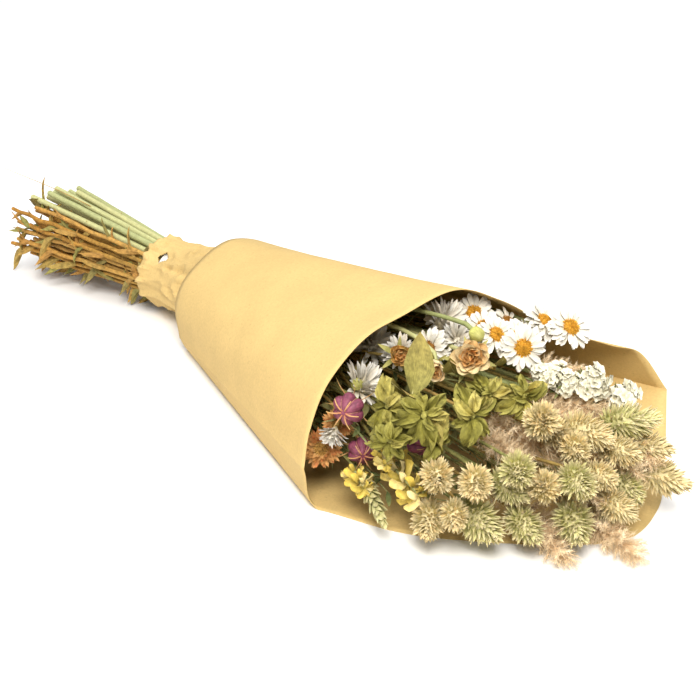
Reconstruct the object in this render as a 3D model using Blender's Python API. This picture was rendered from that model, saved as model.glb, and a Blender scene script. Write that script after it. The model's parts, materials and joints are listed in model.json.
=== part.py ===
"""A dried-flower bouquet in a kraft-paper sleeve, lying on its back on a flat surface.

Every plant is one solid from its cut end, through the tie, to its head. The stems stand in
close rings where the tie holds them, fan out behind it, and spread inside the sleeve in front
of it. +X runs from the cut ends to the heads, +Z is up, and the sleeve's underside is z = 0.

Places below are in millimetres, measured from the middle of the sleeve's narrow mouth. The
finished bouquet is moved so that the middle of its footprint is the origin.
"""

import math

import bmesh
import bpy
import numpy as np
from mathutils import Vector

MM = 0.001

# The tie, and the ring pattern in which it holds the stems.
TIE_X = -50.0
TIE_CENTRE = (21.0, 27.5)
STEM_PITCH = 4.5
STEM_RADIUS_AT_TIE = 2.0
STEM_RADIUS_AT_HEAD = 1.1
STEM_RINGS = 4
STEM_COUNT = 55
STRAIGHT_AT_TIE = 12.0
TIE_WIDTH = 7.0
TIE_THICKNESS = 1.0

# The stems' cut ends behind the tie. The upper stems are the shorter ones.
TAIL_LENGTH = 140.0
TAIL_STAGGER = 24.0
TAIL_SLANT = 0.5
TAIL_SPREAD = (2.0, 1.65)
TAIL_DRIFT = (-3.0, 6.0)

# Paper.
PAPER = 0.8
CLEARANCE = 0.35

# The sleeve's narrow rim, all in the plane x = 0, as (x, y, z) from the left crease over the
# top to the right crease.
NARROW_RIM_TOP = (
    (0, -20, 10),
    (0, -22, 35),
    (0, -9, 53),
    (0, 22, 65.5),
    (0, 55, 55),
    (0, 67, 36),
    (0, 66, 15),
)
NARROW_RIM_FLOOR = ((0, 58, 4), (0, 46, 0), (0, 2, 0), (0, -13, 0))

# The wide rim, which the blooms come out of, the same way round.
WIDE_RIM_TOP = (
    (213, -109, 27),
    (213, -104, 49),
    (213, -89, 72),
    (215, -56, 92),
    (220, -8, 100.5),
    (231, 19, 90.5),
    (245, 49, 70),
    (264, 74, 58),
    (275, 88, 52),
    (285, 101, 29),
)
WIDE_RIM_FLOOR = (
    (311, 66, 9),
    (334, 30, 0),
    (343, -8, 0),
    (322, -38, 0),
    (290, -66, 0),
    (258, -86, 0),
    (213, -99, 0),
)
RIM_STEPS_TOP = 22
RIM_STEPS_FLOOR = 16
SLEEVE_STEPS = 7

# The gathered paper cuff round the stems: (x, y, z, radius) from its open tail end to the end
# that stands inside the sleeve.
CUFF_RINGS = (
    (-65, 20, 27.7, 23.6),
    (-57, 20.6, 27.5, 22.4),
    (-50, 21, 27.5, 21.9),
    (-43, 21, 27.7, 22.4),
    (-26, 20.6, 28.9, 25.2),
    (-8, 19.6, 30.7, 28.7),
    (5, 19.2, 31.7, 30.2),
)
CUFF_SIDES = 18
CUFF_PLEAT = 0.5

# Heads. Each profile runs along the head's own axis as (distance from its foot, radius).
# "middle" is how far from the foot the place in PLANTS lies.
HEADS = {
    "daisy": {"middle": 6, "profile": ((3, 4.2), (5.5, 9.6), (7.2, 10.4), (9.5, 4))},
    "tuft": {"middle": 9, "profile": ((4, 4.5), (10, 6.5), (16, 7.5), (18, 3.5))},
    "seed_bud": {"middle": 5, "profile": ((2, 3.4), (5, 4.6), (9, 1.8))},
    "rose": {"middle": 9, "profile": ((3, 5), (8, 8.2), (14, 8.6), (17, 5))},
    "nigella_pod": {"middle": 9, "profile": ((3, 5), (8, 8.6), (13, 8.4), (17, 3))},
    "strawflower": {"middle": 6, "profile": ((3, 6), (8, 8.8), (12, 5.5))},
    "bract_head": {"middle": 11, "profile": ((4, 5), (10, 10.2), (17, 10.8), (21, 5))},
    "leaf": {"middle": 16, "profile": ((5, 4), (14, 8.5), (24, 7), (32, 1.2)), "flat": 0.16},
    "canary_grass": {
        "middle": 15,
        "profile": ((3, 4.5), (9, 8.0), (18, 8.2), (26, 5.2), (32, 1.4)),
    },
    "wheat_ear": {"middle": 30, "profile": ((5, 3.6), (20, 5.0), (42, 4.8), (60, 1.4))},
    "yellow_sprig": {"middle": 16, "profile": ((6, 4), (14, 6), (24, 5.6), (33, 2))},
    "plume": {"middle": 32, "profile": ((10, 4), (24, 7.2), (42, 7.2), (58, 4.4), (68, 1.2))},
    "statice": {"middle": 12, "profile": ((4, 4.5), (10, 7.6), (18, 7.8), (24, 4))},
}

# name, kind, place (x, y, z), where it faces (turn from +X towards +Y, tilt above level), size.
PLANTS = (
    ("daisy_1", "daisy", (220, 10, 82), (-35, 42), 0.95),
    ("daisy_2", "daisy", (195, 12, 72), (-60, 35), 0.9),
    ("daisy_3", "daisy", (223, -29, 73), (-85, 10), 0.9),
    ("daisy_4", "daisy", (247, -2, 81), (-15, 40), 0.9),
    ("daisy_5", "daisy", (219, 40, 62), (15, 30), 0.9),
    ("daisy_6", "daisy", (266, -3, 79), (-40, 15), 1.0),
    ("daisy_7", "daisy", (252, 32, 81), (20, 55), 1.0),
    ("daisy_8", "daisy", (266, 36, 80), (-20, 42), 1.0),
    ("white_tuft_1", "tuft", (187, -33, 66), (-10, 50), 1.0),
    ("white_tuft_2", "tuft", (214, -6, 80), (10, 45), 1.0),
    ("white_tuft_3", "tuft", (212, -65, 60), (10, 40), 1.0),
    ("white_tuft_4", "tuft", (218, -93, 43), (-70, -35), 0.6),
    ("seed_bud_1", "seed_bud", (257, -29, 91), (-20, -10), 1.0),
    ("seed_bud_2", "seed_bud", (197, -54, 60), (-20, 30), 0.9),
    ("rose_1", "rose", (262, -39, 83), (-50, 20), 1.0),
    ("rose_2", "rose", (222, -49, 75), (-35, 22), 0.85),
    ("rose_3", "rose", (243, -45, 73), (-50, -10), 0.8),
    ("nigella_1", "nigella_pod", (226, -90, 59), (-65, 5), 1.0),
    ("nigella_2", "nigella_pod", (226, -80, 32), (-40, 0), 0.9),
    ("nigella_3", "nigella_pod", (255, -66, 44), (-10, 0), 1.0),
    ("strawflower_1", "strawflower", (206, -90, 30), (-50, 20), 1.0),
    ("green_bracts_1", "bract_head", (248, -84, 66), (-60, 25), 0.9),
    ("green_bracts_2", "bract_head", (268, -79, 66), (-50, 20), 1.0),
    ("green_bracts_3", "bract_head", (279, -56, 62), (-30, 10), 0.95),
    ("green_bracts_4", "bract_head", (286, -25, 65), (-20, 10), 0.9),
    ("leaf_1", "leaf", (250, -64, 83), (100, 68), 1.0),
    ("leaf_2", "leaf", (253, -26, 66), (-120, 20), 0.9),
    ("canary_grass_1", "canary_grass", (282, -84, 40), (-42, 12), 0.9),
    ("canary_grass_2", "canary_grass", (300, -76, 40), (-45, 5), 0.9),
    ("canary_grass_3", "canary_grass", (313, -60, 46), (-42, 12), 0.95),
    ("canary_grass_4", "canary_grass", (281, -88, 17), (-50, -2), 0.95),
    ("canary_grass_5", "canary_grass", (299, -72, 18), (-17, 0), 1.15),
    ("canary_grass_6", "canary_grass", (304, -56, 32), (-15, 0), 0.9),
    ("canary_grass_7", "canary_grass", (317, -58, 17), (-25, 0), 0.95),
    ("canary_grass_8", "canary_grass", (309, -39, 64), (-42, 35), 1.0),
    ("canary_grass_9", "canary_grass", (317, -13, 52), (-5, 5), 1.05),
    ("canary_grass_10", "canary_grass", (326, 8, 54), (20, 18), 1.05),
    ("canary_grass_11", "canary_grass", (322, -50, 37), (-60, 35), 0.9),
    ("canary_grass_12", "canary_grass", (335, -42, 42), (-30, 5), 0.95),
    ("canary_grass_13", "canary_grass", (334, -22, 37), (-20, 10), 0.8),
    ("canary_grass_14", "canary_grass", (335, -2, 24), (-22, 0), 0.9),
    ("canary_grass_15", "canary_grass", (341, 20, 24), (6, 0), 1.0),
    ("canary_grass_16", "canary_grass", (333, -40, 18), (-40, -4), 1.05),
    ("canary_grass_17", "canary_grass", (342, -18, 22), (-11, 0), 0.85),
    ("wheat_ear_1", "wheat_ear", (248, -93, 16), (-30, -8), 0.75),
    ("yellow_sprig_1", "yellow_sprig", (236, -92, 24), (-30, -5), 0.7),
    ("yellow_sprig_2", "yellow_sprig", (262, -84, 29), (-20, -5), 1.0),
    ("plume_1", "plume", (290, -22, 42), (2, 0), 1.0),
    ("plume_2", "plume", (318, 17, 37), (-12, 0), 0.85),
    ("plume_3", "plume", (278, 14, 50), (-2, -2), 0.8),
    ("plume_4", "plume", (318, -44, 7), (-25, -2), 0.9),
    ("plume_5", "plume", (342, -21, 7), (-18, -2), 0.85),
    ("statice_1", "statice", (277, 6, 66), (-10, 50), 0.95),
    ("statice_2", "statice", (295, 19, 62), (-20, 25), 1.05),
    ("statice_3", "statice", (308, 30, 53), (0, 15), 1.05),
)

# Settling the stems: how finely they are followed along the sleeve, and how long.
STATION_PITCH = 12.0
SETTLING_ROUNDS = 500
STEM_GAP = 0.9
HEAD_GAP = 2.0
FLOOR_HEIGHT = 2.6
APPROACH = 9.0
STEM_SIDES = 6
KEPT_STATIONS = 2

COLOURS = {
    "kraft": (0.78, 0.58, 0.33),
    "elastic": (0.86, 0.84, 0.78),
    "daisy": (0.90, 0.88, 0.84),
    "tuft": (0.85, 0.82, 0.76),
    "seed_bud": (0.62, 0.66, 0.25),
    "rose": (0.86, 0.60, 0.30),
    "nigella_pod": (0.33, 0.10, 0.20),
    "strawflower": (0.80, 0.38, 0.14),
    "bract_head": (0.47, 0.50, 0.16),
    "leaf": (0.42, 0.44, 0.18),
    "canary_grass": (0.74, 0.68, 0.42),
    "wheat_ear": (0.62, 0.60, 0.32),
    "yellow_sprig": (0.80, 0.62, 0.20),
    "plume": (0.62, 0.44, 0.28),
    "statice": (0.88, 0.87, 0.78),
}


def clear_scene():
    for obj in list(bpy.data.objects):
        bpy.data.objects.remove(obj)


def material(slot):
    found = bpy.data.materials.get(slot)
    if found:
        return found
    made = bpy.data.materials.new(slot)
    made.use_nodes = True
    shader = made.node_tree.nodes["Principled BSDF"]
    shader.inputs["Base Color"].default_value = (*COLOURS[slot], 1.0)
    shader.inputs["Roughness"].default_value = 0.85
    shader.inputs["Metallic"].default_value = 0.0
    return made


def solid_from(name, points, faces, slot):
    """A smooth-shaded mesh object from points in millimetres."""
    mesh = bpy.data.meshes.new(name)
    mesh.from_pydata([Vector(p) * MM for p in points], [], faces)
    mesh.shade_smooth()
    mesh.set_sharp_from_angle(angle=math.radians(40))
    mesh.materials.append(material(slot))
    obj = bpy.data.objects.new(name, mesh)
    bpy.context.scene.collection.objects.link(obj)
    return obj


def ring_faces(rings, sides, closed_length=False):
    """Quads between neighbouring rings; the last ring joins the first if closed_length."""
    faces = []
    for i in range(rings if closed_length else rings - 1):
        here, there = i * sides, (i + 1) % rings * sides
        for k in range(sides):
            after = (k + 1) % sides
            faces.append((here + k, here + after, there + after, there + k))
    return faces


# Plants


def facing(turn, tilt):
    turn, tilt = math.radians(turn), math.radians(tilt)
    return Vector(
        (math.cos(turn) * math.cos(tilt), math.sin(turn) * math.cos(tilt), math.sin(tilt))
    )


class Plant:
    """One row of PLANTS with its head's axis and foot worked out."""

    def __init__(self, name, kind, place, faces, size):
        self.name = name
        self.kind = kind
        self.head = HEADS[kind]
        self.size = size
        self.axis = facing(*faces)
        self.foot = Vector(place) - self.axis * self.head["middle"] * size
        self.length = self.head["profile"][-1][0] * size
        self.path = []

    def reach(self):
        """How far along the sleeve the stem runs before it turns to its head."""
        return min(self.foot.x, self.foot.x - self.axis.x * APPROACH) - STATION_PITCH / 2


def tie_slots():
    """Where the stems stand in the tie, as (y, z) from its middle, the middle ones first."""
    slots = []
    for row in range(-STEM_RINGS, STEM_RINGS + 1):
        for step in range(-STEM_RINGS, STEM_RINGS + 1):
            if abs(row + step) <= STEM_RINGS:
                y = (step + row / 2) * STEM_PITCH
                z = row * math.sqrt(3) / 2 * STEM_PITCH
                slots.append((y, z))
    slots.sort(key=lambda slot: (round(math.hypot(*slot), 3), slot))
    return np.array(slots[:STEM_COUNT])


def pair_with_slots(plants, slots):
    """Swaps slots between plants until no two stems would cross on their way to the heads."""
    tie_middle = Vector((TIE_X, *TIE_CENTRE))
    towards = [p.foot - tie_middle for p in plants]
    aims = np.array([(way.y / way.x, way.z / way.x) for way in towards])
    order = list(range(len(plants)))
    swapped = True
    while swapped:
        swapped = False
        for i in range(len(order)):
            for j in range(i + 1, len(order)):
                if np.dot(slots[order[i]] - slots[order[j]], aims[i] - aims[j]) < -1e-9:
                    order[i], order[j] = order[j], order[i]
                    swapped = True
    return slots[order]


def head_spheres(plants):
    """Each head as spheres along its axis: centres, radii and the plant that each belongs to."""
    centres, radii, owners = [], [], []
    for index, plant in enumerate(plants):
        thickness = 0.45 if "flat" in plant.head else 1.0
        for distance, radius in plant.head["profile"]:
            centres.append(plant.foot + plant.axis * distance * plant.size)
            radii.append(radius * plant.size * thickness)
            owners.append(index)
    return np.array(centres), np.array(radii), np.array(owners)


def stem_radius(x):
    """The stem's radius in front of the tie, from its thick foot to its thin top."""
    share = np.clip((x - TIE_X) / 90.0, 0.0, 1.0)
    return STEM_RADIUS_AT_TIE + (STEM_RADIUS_AT_HEAD - STEM_RADIUS_AT_TIE) * share


def pushed_apart(places, reach, need):
    """How far each stem has to move sideways at one station to keep clear of the others."""
    gap = places[:, None, :] - places[None, :, :]
    distance = np.linalg.norm(gap, axis=2) + 1e-6
    short = np.clip(need - distance, 0.0, None)
    short[~(reach[:, None] & reach[None, :])] = 0.0
    np.fill_diagonal(short, 0.0)
    return (gap / distance[..., None] * (short * 0.5)[..., None]).sum(axis=1)


def first_guess(plants, slots, stations):
    """Straight runs from the tie to the cuff's inner end, and from there to the heads."""
    homes = slots + np.array(TIE_CENTRE)
    waist_x, *waist_centre, waist_radius = CUFF_RINGS[-1]
    room = waist_radius - PAPER - CUFF_PLEAT - CLEARANCE - STEM_RADIUS_AT_TIE
    widest = np.linalg.norm(slots, axis=1).max()
    waists = slots * (room / widest) + np.array(waist_centre)
    ends = np.array([p.foot - p.axis * APPROACH for p in plants])
    first = (stations - stations[0]) / (waist_x - stations[0])
    second = (stations[None, :] - waist_x) / (ends[:, None, 0] - waist_x)
    before = homes[:, None] + (waists - homes)[:, None] * first[None, :, None]
    behind = waists[:, None] + (ends[:, 1:] - waists)[:, None] * second[..., None]
    return np.where((stations <= waist_x)[None, :, None], before, behind)


def kept_in_cuff(places, x, radius):
    """Draws the stems at one station in, so that they all stay inside the cuff."""
    rings = np.array(CUFF_RINGS)
    if x > rings[-1, 0] + STATION_PITCH:
        return places
    centre = np.array([np.interp(x, rings[:, 0], rings[:, i]) for i in (1, 2)])
    room = np.interp(x, rings[:, 0], rings[:, 3]) - PAPER - CUFF_PLEAT - CLEARANCE - radius
    out = places - centre
    distance = np.linalg.norm(out, axis=1, keepdims=True) + 1e-6
    return centre + out * np.minimum(1.0, 0.985 * room / distance)


def settle_stems(plants, slots):
    """Finds each stem's way from the tie to its head, clear of the other stems and heads."""
    start = TIE_X + STRAIGHT_AT_TIE / 2
    reaches = np.array([p.reach() for p in plants])
    stations = np.arange(start, reaches.max() + STATION_PITCH, STATION_PITCH)
    active = stations[None, :] <= reaches[:, None]
    straight = first_guess(plants, slots, stations)
    places = straight.copy()
    centres, radii, owners = head_spheres(plants)
    own = np.arange(len(plants))[:, None] == owners[None, :]
    for _ in range(SETTLING_ROUNDS):
        for s in range(1, len(stations)):
            radius = stem_radius(stations[s])
            move = pushed_apart(places[:, s], active[:, s], 2 * radius + STEM_GAP)
            reach = radii + radius + HEAD_GAP
            near = np.abs(centres[:, 0] - stations[s]) < reach
            if near.any():
                room = np.sqrt(reach[near] ** 2 - (centres[near, 0] - stations[s]) ** 2)
                away = places[:, None, s] - centres[None, near, 1:]
                distance = np.linalg.norm(away, axis=2) + 1e-6
                short = np.where(own[:, near], 0.0, np.clip(room - distance, 0.0, None))
                move += (away / distance[..., None] * (short * 0.6)[..., None]).sum(axis=1)
            places[:, s] = kept_in_cuff(places[:, s] + move, stations[s], radius)
            places[:, s, 1] = np.maximum(places[:, s, 1], FLOOR_HEIGHT)
        bent = places.copy()
        bent[:, 1:-1] += 0.25 * (places[:, :-2] + places[:, 2:] - 2 * places[:, 1:-1])
        bent[~active] = straight[~active]
        places[:, 1:] = bent[:, 1:]
    for index, plant in enumerate(plants):
        last = int(active[index].sum())
        plant.path = [Vector((stations[s], *places[index, s])) for s in range(last)]


def tail_tip(index, slot):
    """The cut end: the stems splay out behind the tie, and their lengths are staggered."""
    stagger = (index * 0.618) % 1.0
    back = TAIL_LENGTH + TAIL_STAGGER * (stagger - 0.5) - TAIL_SLANT * slot[1]
    share = back / TAIL_LENGTH
    spread = [1.0 + (wide - 1.0) * share for wide in TAIL_SPREAD]
    return Vector(
        (
            TIE_X - back,
            TIE_CENTRE[0] + TAIL_DRIFT[0] * share + slot[0] * spread[0],
            TIE_CENTRE[1] + TAIL_DRIFT[1] * share + slot[1] * spread[1],
        )
    )


def loft_plant(plant, index, slot):
    """One closed solid swept along the stem and out along the head's profile."""
    home = Vector((TIE_X, *(slot + np.array(TIE_CENTRE))))
    half = Vector((STRAIGHT_AT_TIE / 2, 0, 0))
    stem = plant.path[::KEPT_STATIONS]
    points = [tail_tip(index, slot), home - half, *stem, plant.foot - plant.axis * APPROACH * 0.6]
    radii = [STEM_RADIUS_AT_TIE * 0.9, STEM_RADIUS_AT_TIE]
    radii += [float(stem_radius(p.x)) for p in stem] + [STEM_RADIUS_AT_HEAD]
    points.append(plant.foot.copy())
    radii.append(STEM_RADIUS_AT_HEAD * 1.1)
    stem_rings = len(points)
    for distance, radius in plant.head["profile"]:
        points.append(plant.foot + plant.axis * distance * plant.size)
        radii.append(radius * plant.size)
    verts = []
    upright = Vector((0, 0, 1))
    for i, point in enumerate(points):
        before, after = points[max(i - 1, 0)], points[min(i + 1, len(points) - 1)]
        along = plant.axis if i >= stem_rings - 1 else (after - before).normalized()
        upright = (upright - along * upright.dot(along)).normalized()
        side = along.cross(upright)
        flat = plant.head.get("flat", 1.0) if i >= stem_rings else 1.0
        for k in range(STEM_SIDES):
            angle = 2 * math.pi * k / STEM_SIDES
            out = side * math.cos(angle) + upright * (math.sin(angle) * flat)
            verts.append(point + out * radii[i])
    faces = ring_faces(len(points), STEM_SIDES)
    faces.append(tuple(reversed(range(STEM_SIDES))))
    faces.append(tuple(range(len(verts) - STEM_SIDES, len(verts))))
    return solid_from(plant.name, verts, faces, plant.kind)


# Paper and tie


def smooth_curve(points, steps):
    """A Catmull-Rom curve through the points, as steps + 1 points evenly spread in number."""
    points = [Vector(p) for p in points]
    ends = [points[0] * 2 - points[1], *points, points[-1] * 2 - points[-2]]
    spans = len(points) - 1
    curve = []
    for i in range(steps + 1):
        place = min(i / steps * spans, spans - 1e-6)
        k, t = int(place), place - int(place)
        a, b, c, d = ends[k : k + 4]
        curve.append(
            0.5
            * (
                2 * b
                + (c - a) * t
                + (2 * a - 5 * b + 4 * c - d) * t**2
                + (3 * b - a - 3 * c + d) * t**3
            )
        )
    return curve


def rim(top, floor):
    """A closed rim: the arch from crease to crease, then back underneath along the floor."""
    arch = smooth_curve(top, RIM_STEPS_TOP)
    under = smooth_curve((top[-1], *floor, top[0]), RIM_STEPS_FLOOR)
    for point in under:
        point.z = max(point.z, 0.0)
    return arch + under[1:-1]


def inward(rims, i, k):
    """The unit normal of the sleeve's wall at a grid point, pointing into the sleeve."""
    last, around = len(rims) - 1, len(rims[0])
    along = rims[min(i + 1, last)][k] - rims[max(i - 1, 0)][k]
    across = rims[i][(k + 1) % around] - rims[i][k - 1]
    return across.cross(along).normalized()


def sleeve():
    """The kraft sleeve: a thin wall between its narrow and its wide rim, open at both."""
    narrow, wide = rim(NARROW_RIM_TOP, NARROW_RIM_FLOOR), rim(WIDE_RIM_TOP, WIDE_RIM_FLOOR)
    rims = [
        [a.lerp(b, i / SLEEVE_STEPS) for a, b in zip(narrow, wide, strict=True)]
        for i in range(SLEEVE_STEPS + 1)
    ]
    inner = [
        [p + inward(rims, i, k) * PAPER for k, p in enumerate(ring)]
        for i, ring in enumerate(rims)
    ]
    rings = rims + inner[::-1]
    faces = ring_faces(len(rings), len(narrow), closed_length=True)
    return solid_from("kraft_sleeve", [p for ring in rings for p in ring], faces, "kraft")


def cuff():
    """The gathered paper cuff: a pleated tube that stands round the stems."""
    outer, inner = [], []
    for x, y, z, radius in CUFF_RINGS:
        for wall, thickness in ((outer, 0.0), (inner, PAPER)):
            ring = []
            for k in range(CUFF_SIDES):
                angle = 2 * math.pi * k / CUFF_SIDES
                r = radius + CUFF_PLEAT * (-1) ** k - thickness
                ring.append((x, y + r * math.cos(angle), z + r * math.sin(angle)))
            wall.append(ring)
    rings = outer + inner[::-1]
    faces = ring_faces(len(rings), CUFF_SIDES, closed_length=True)
    return solid_from("paper_cuff", [p for ring in rings for p in ring], faces, "kraft")


def tie(bundle_radius):
    """The elastic that holds the stems: a flat ring round the bundle."""
    sides = 24
    inner = (bundle_radius + CLEARANCE) / math.cos(math.pi / sides)
    half = TIE_WIDTH / 2
    section = (
        (-half, inner),
        (-half, inner + TIE_THICKNESS),
        (half, inner + TIE_THICKNESS),
        (half, inner),
    )
    middle_y, middle_z = TIE_CENTRE
    verts = []
    for x, radius in section:
        for k in range(sides):
            angle = 2 * math.pi * k / sides
            y, z = radius * math.cos(angle), radius * math.sin(angle)
            verts.append((TIE_X + x, middle_y + y, middle_z + z))
    return solid_from("binding_tie", verts, ring_faces(4, sides, closed_length=True), "elastic")


def make_outward(obj):
    mesh = bmesh.new()
    mesh.from_mesh(obj.data)
    bmesh.ops.recalc_face_normals(mesh, faces=mesh.faces)
    mesh.to_mesh(obj.data)
    mesh.free()


def centre_on_footprint(objects):
    """Moves the bouquet so that the middle of its footprint is the origin."""
    corners = np.array([v.co for obj in objects for v in obj.data.vertices])
    low, high = corners.min(axis=0), corners.max(axis=0)
    shift = Vector((-(low[0] + high[0]) / 2, -(low[1] + high[1]) / 2, -low[2]))
    for obj in objects:
        for vertex in obj.data.vertices:
            vertex.co += shift


def main():
    clear_scene()
    plants = [Plant(*row) for row in PLANTS]
    slots = pair_with_slots(plants, tie_slots())
    settle_stems(plants, slots)
    objects = [loft_plant(p, i, slots[i]) for i, p in enumerate(plants)]
    bundle_radius = float(np.linalg.norm(slots, axis=1).max()) + STEM_RADIUS_AT_TIE
    objects += [tie(bundle_radius), cuff(), sleeve()]
    for obj in objects:
        make_outward(obj)
    centre_on_footprint(objects)


main()
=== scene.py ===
"""A dried-flower bouquet in kraft paper: its petals, grasses, stems and paper.

Every plant follows the route of its solid in the frame, from its cut end to its head, and its
head grows on the axis of the solid's own head. Sizes below are in millimetres unless a name or
a comment says otherwise.
"""

import json
import math

import bmesh
import bpy
import numpy as np
from bpy.props import FloatProperty, FloatVectorProperty, IntProperty, PointerProperty
from bpy.types import Operator, Panel, PropertyGroup
from mathutils import Matrix, Vector, noise

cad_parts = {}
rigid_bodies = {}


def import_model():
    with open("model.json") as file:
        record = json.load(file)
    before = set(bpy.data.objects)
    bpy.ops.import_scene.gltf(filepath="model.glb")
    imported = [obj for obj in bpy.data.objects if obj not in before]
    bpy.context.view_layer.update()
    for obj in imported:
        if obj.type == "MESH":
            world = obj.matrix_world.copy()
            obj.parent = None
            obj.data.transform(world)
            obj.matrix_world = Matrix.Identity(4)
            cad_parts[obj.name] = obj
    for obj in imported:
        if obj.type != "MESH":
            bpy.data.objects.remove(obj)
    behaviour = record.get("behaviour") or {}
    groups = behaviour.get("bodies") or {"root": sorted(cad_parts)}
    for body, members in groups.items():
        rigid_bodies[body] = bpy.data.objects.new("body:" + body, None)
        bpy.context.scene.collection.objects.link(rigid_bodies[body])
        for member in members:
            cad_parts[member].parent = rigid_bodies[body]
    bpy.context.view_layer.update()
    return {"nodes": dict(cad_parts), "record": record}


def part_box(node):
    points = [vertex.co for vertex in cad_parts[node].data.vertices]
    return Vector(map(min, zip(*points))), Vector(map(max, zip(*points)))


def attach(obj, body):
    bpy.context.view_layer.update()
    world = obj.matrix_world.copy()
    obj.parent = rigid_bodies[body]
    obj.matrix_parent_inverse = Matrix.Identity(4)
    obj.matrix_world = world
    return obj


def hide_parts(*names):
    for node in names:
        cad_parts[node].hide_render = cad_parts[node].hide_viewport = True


bl_info = {
    "name": "Dried Flower Bouquet",
    "version": (1, 0, 0),
    "blender": (4, 5, 0),
    "location": "3D View > Sidebar > Bouquet",
    "description": "Makes a bunch of dried flowers in a kraft-paper sleeve",
    "category": "Add Mesh",
}

for startup in list(bpy.data.objects):
    bpy.data.objects.remove(startup)
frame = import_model()

MM = 0.001
# Below this height, what would reach the floor is pressed together above it.
PRESSED = 4 * MM
GOLDEN_ANGLE = math.pi * (3 - math.sqrt(5))

# The tie's middle, measured as the paper's points below are: from the middle of the sleeve's
# narrow rim. The frame says where the tie is, and that places all of them.
TIE_MIDDLE = Vector((-50.0, 21.0, 27.5))
TIE_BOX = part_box("binding_tie")
SHIFT = (TIE_BOX[0] + TIE_BOX[1]) / 2 - TIE_MIDDLE * MM

# How many rings of its solid belong to a head, and how long the head is at full size.
HEAD_RINGS = {
    "daisy": (4, 9.5),
    "tuft": (4, 18),
    "seed_bud": (3, 9),
    "rose": (4, 17),
    "nigella_pod": (4, 17),
    "strawflower": (3, 12),
    "bract_head": (4, 21),
    "leaf": (4, 32),
    "canary_grass": (5, 32),
    "wheat_ear": (4, 60),
    "yellow_sprig": (4, 33),
    "plume": (5, 68),
    "statice": (4, 24),
}

# The sleeve's rims as (x, y, z): over the top from the left crease to the right one, and back
# underneath.
NARROW_TOP = (
    (0, -20, 10),
    (0, -22, 35),
    (0, -9, 53),
    (0, 22, 65.5),
    (0, 55, 55),
    (0, 67, 36),
    (0, 66, 15),
)
NARROW_FLOOR = ((0, 58, 4), (0, 46, 0), (0, 2, 0), (0, -13, 0))
WIDE_TOP = (
    (213, -109, 27),
    (213, -104, 49),
    (213, -89, 72),
    (215, -56, 92),
    (220, -8, 100.5),
    (231, 19, 90.5),
    (245, 49, 70),
    (264, 74, 58),
    (275, 88, 52),
    (285, 101, 29),
)
WIDE_FLOOR = (
    (311, 66, 9),
    (334, 30, 0),
    (343, -8, 0),
    (322, -38, 0),
    (290, -66, 0),
    (258, -86, 0),
    (213, -99, 0),
)
STEPS_OVER_TOP = 132
STEPS_UNDER = 80
STEPS_ALONG = 44

# A shallow dip in the mouth's upper edge: its depth, and its place and width in steps.
DIP_DEPTH = 2.6
DIP_PLACE = 49
DIP_WIDTH = 6

# The cuff as (x, y, z, radius), from its open tail end to the end inside the sleeve.
CUFF_RINGS = (
    (-65, 20, 27.7, 24.4),
    (-57, 20.6, 27.5, 22.9),
    (-50, 21, 27.5, 22.2),
    (-43, 21, 27.7, 22.9),
    (-26, 20.6, 28.9, 25.6),
    (-8, 19.6, 30.7, 28.9),
    (5, 19.2, 31.7, 30.2),
)


# How wide the bunch of stems is in the tie, with the tie round it.
BUNDLE_RADIUS = 20.4


# Settings


def colour(name, description, default):
    return FloatVectorProperty(
        name=name, description=description, default=default, subtype="COLOR", size=3, min=0, max=1
    )


def length(name, description, default):
    """A length in millimetres."""
    return FloatProperty(name=name, description=description, default=default, min=0.01, max=100)


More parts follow.
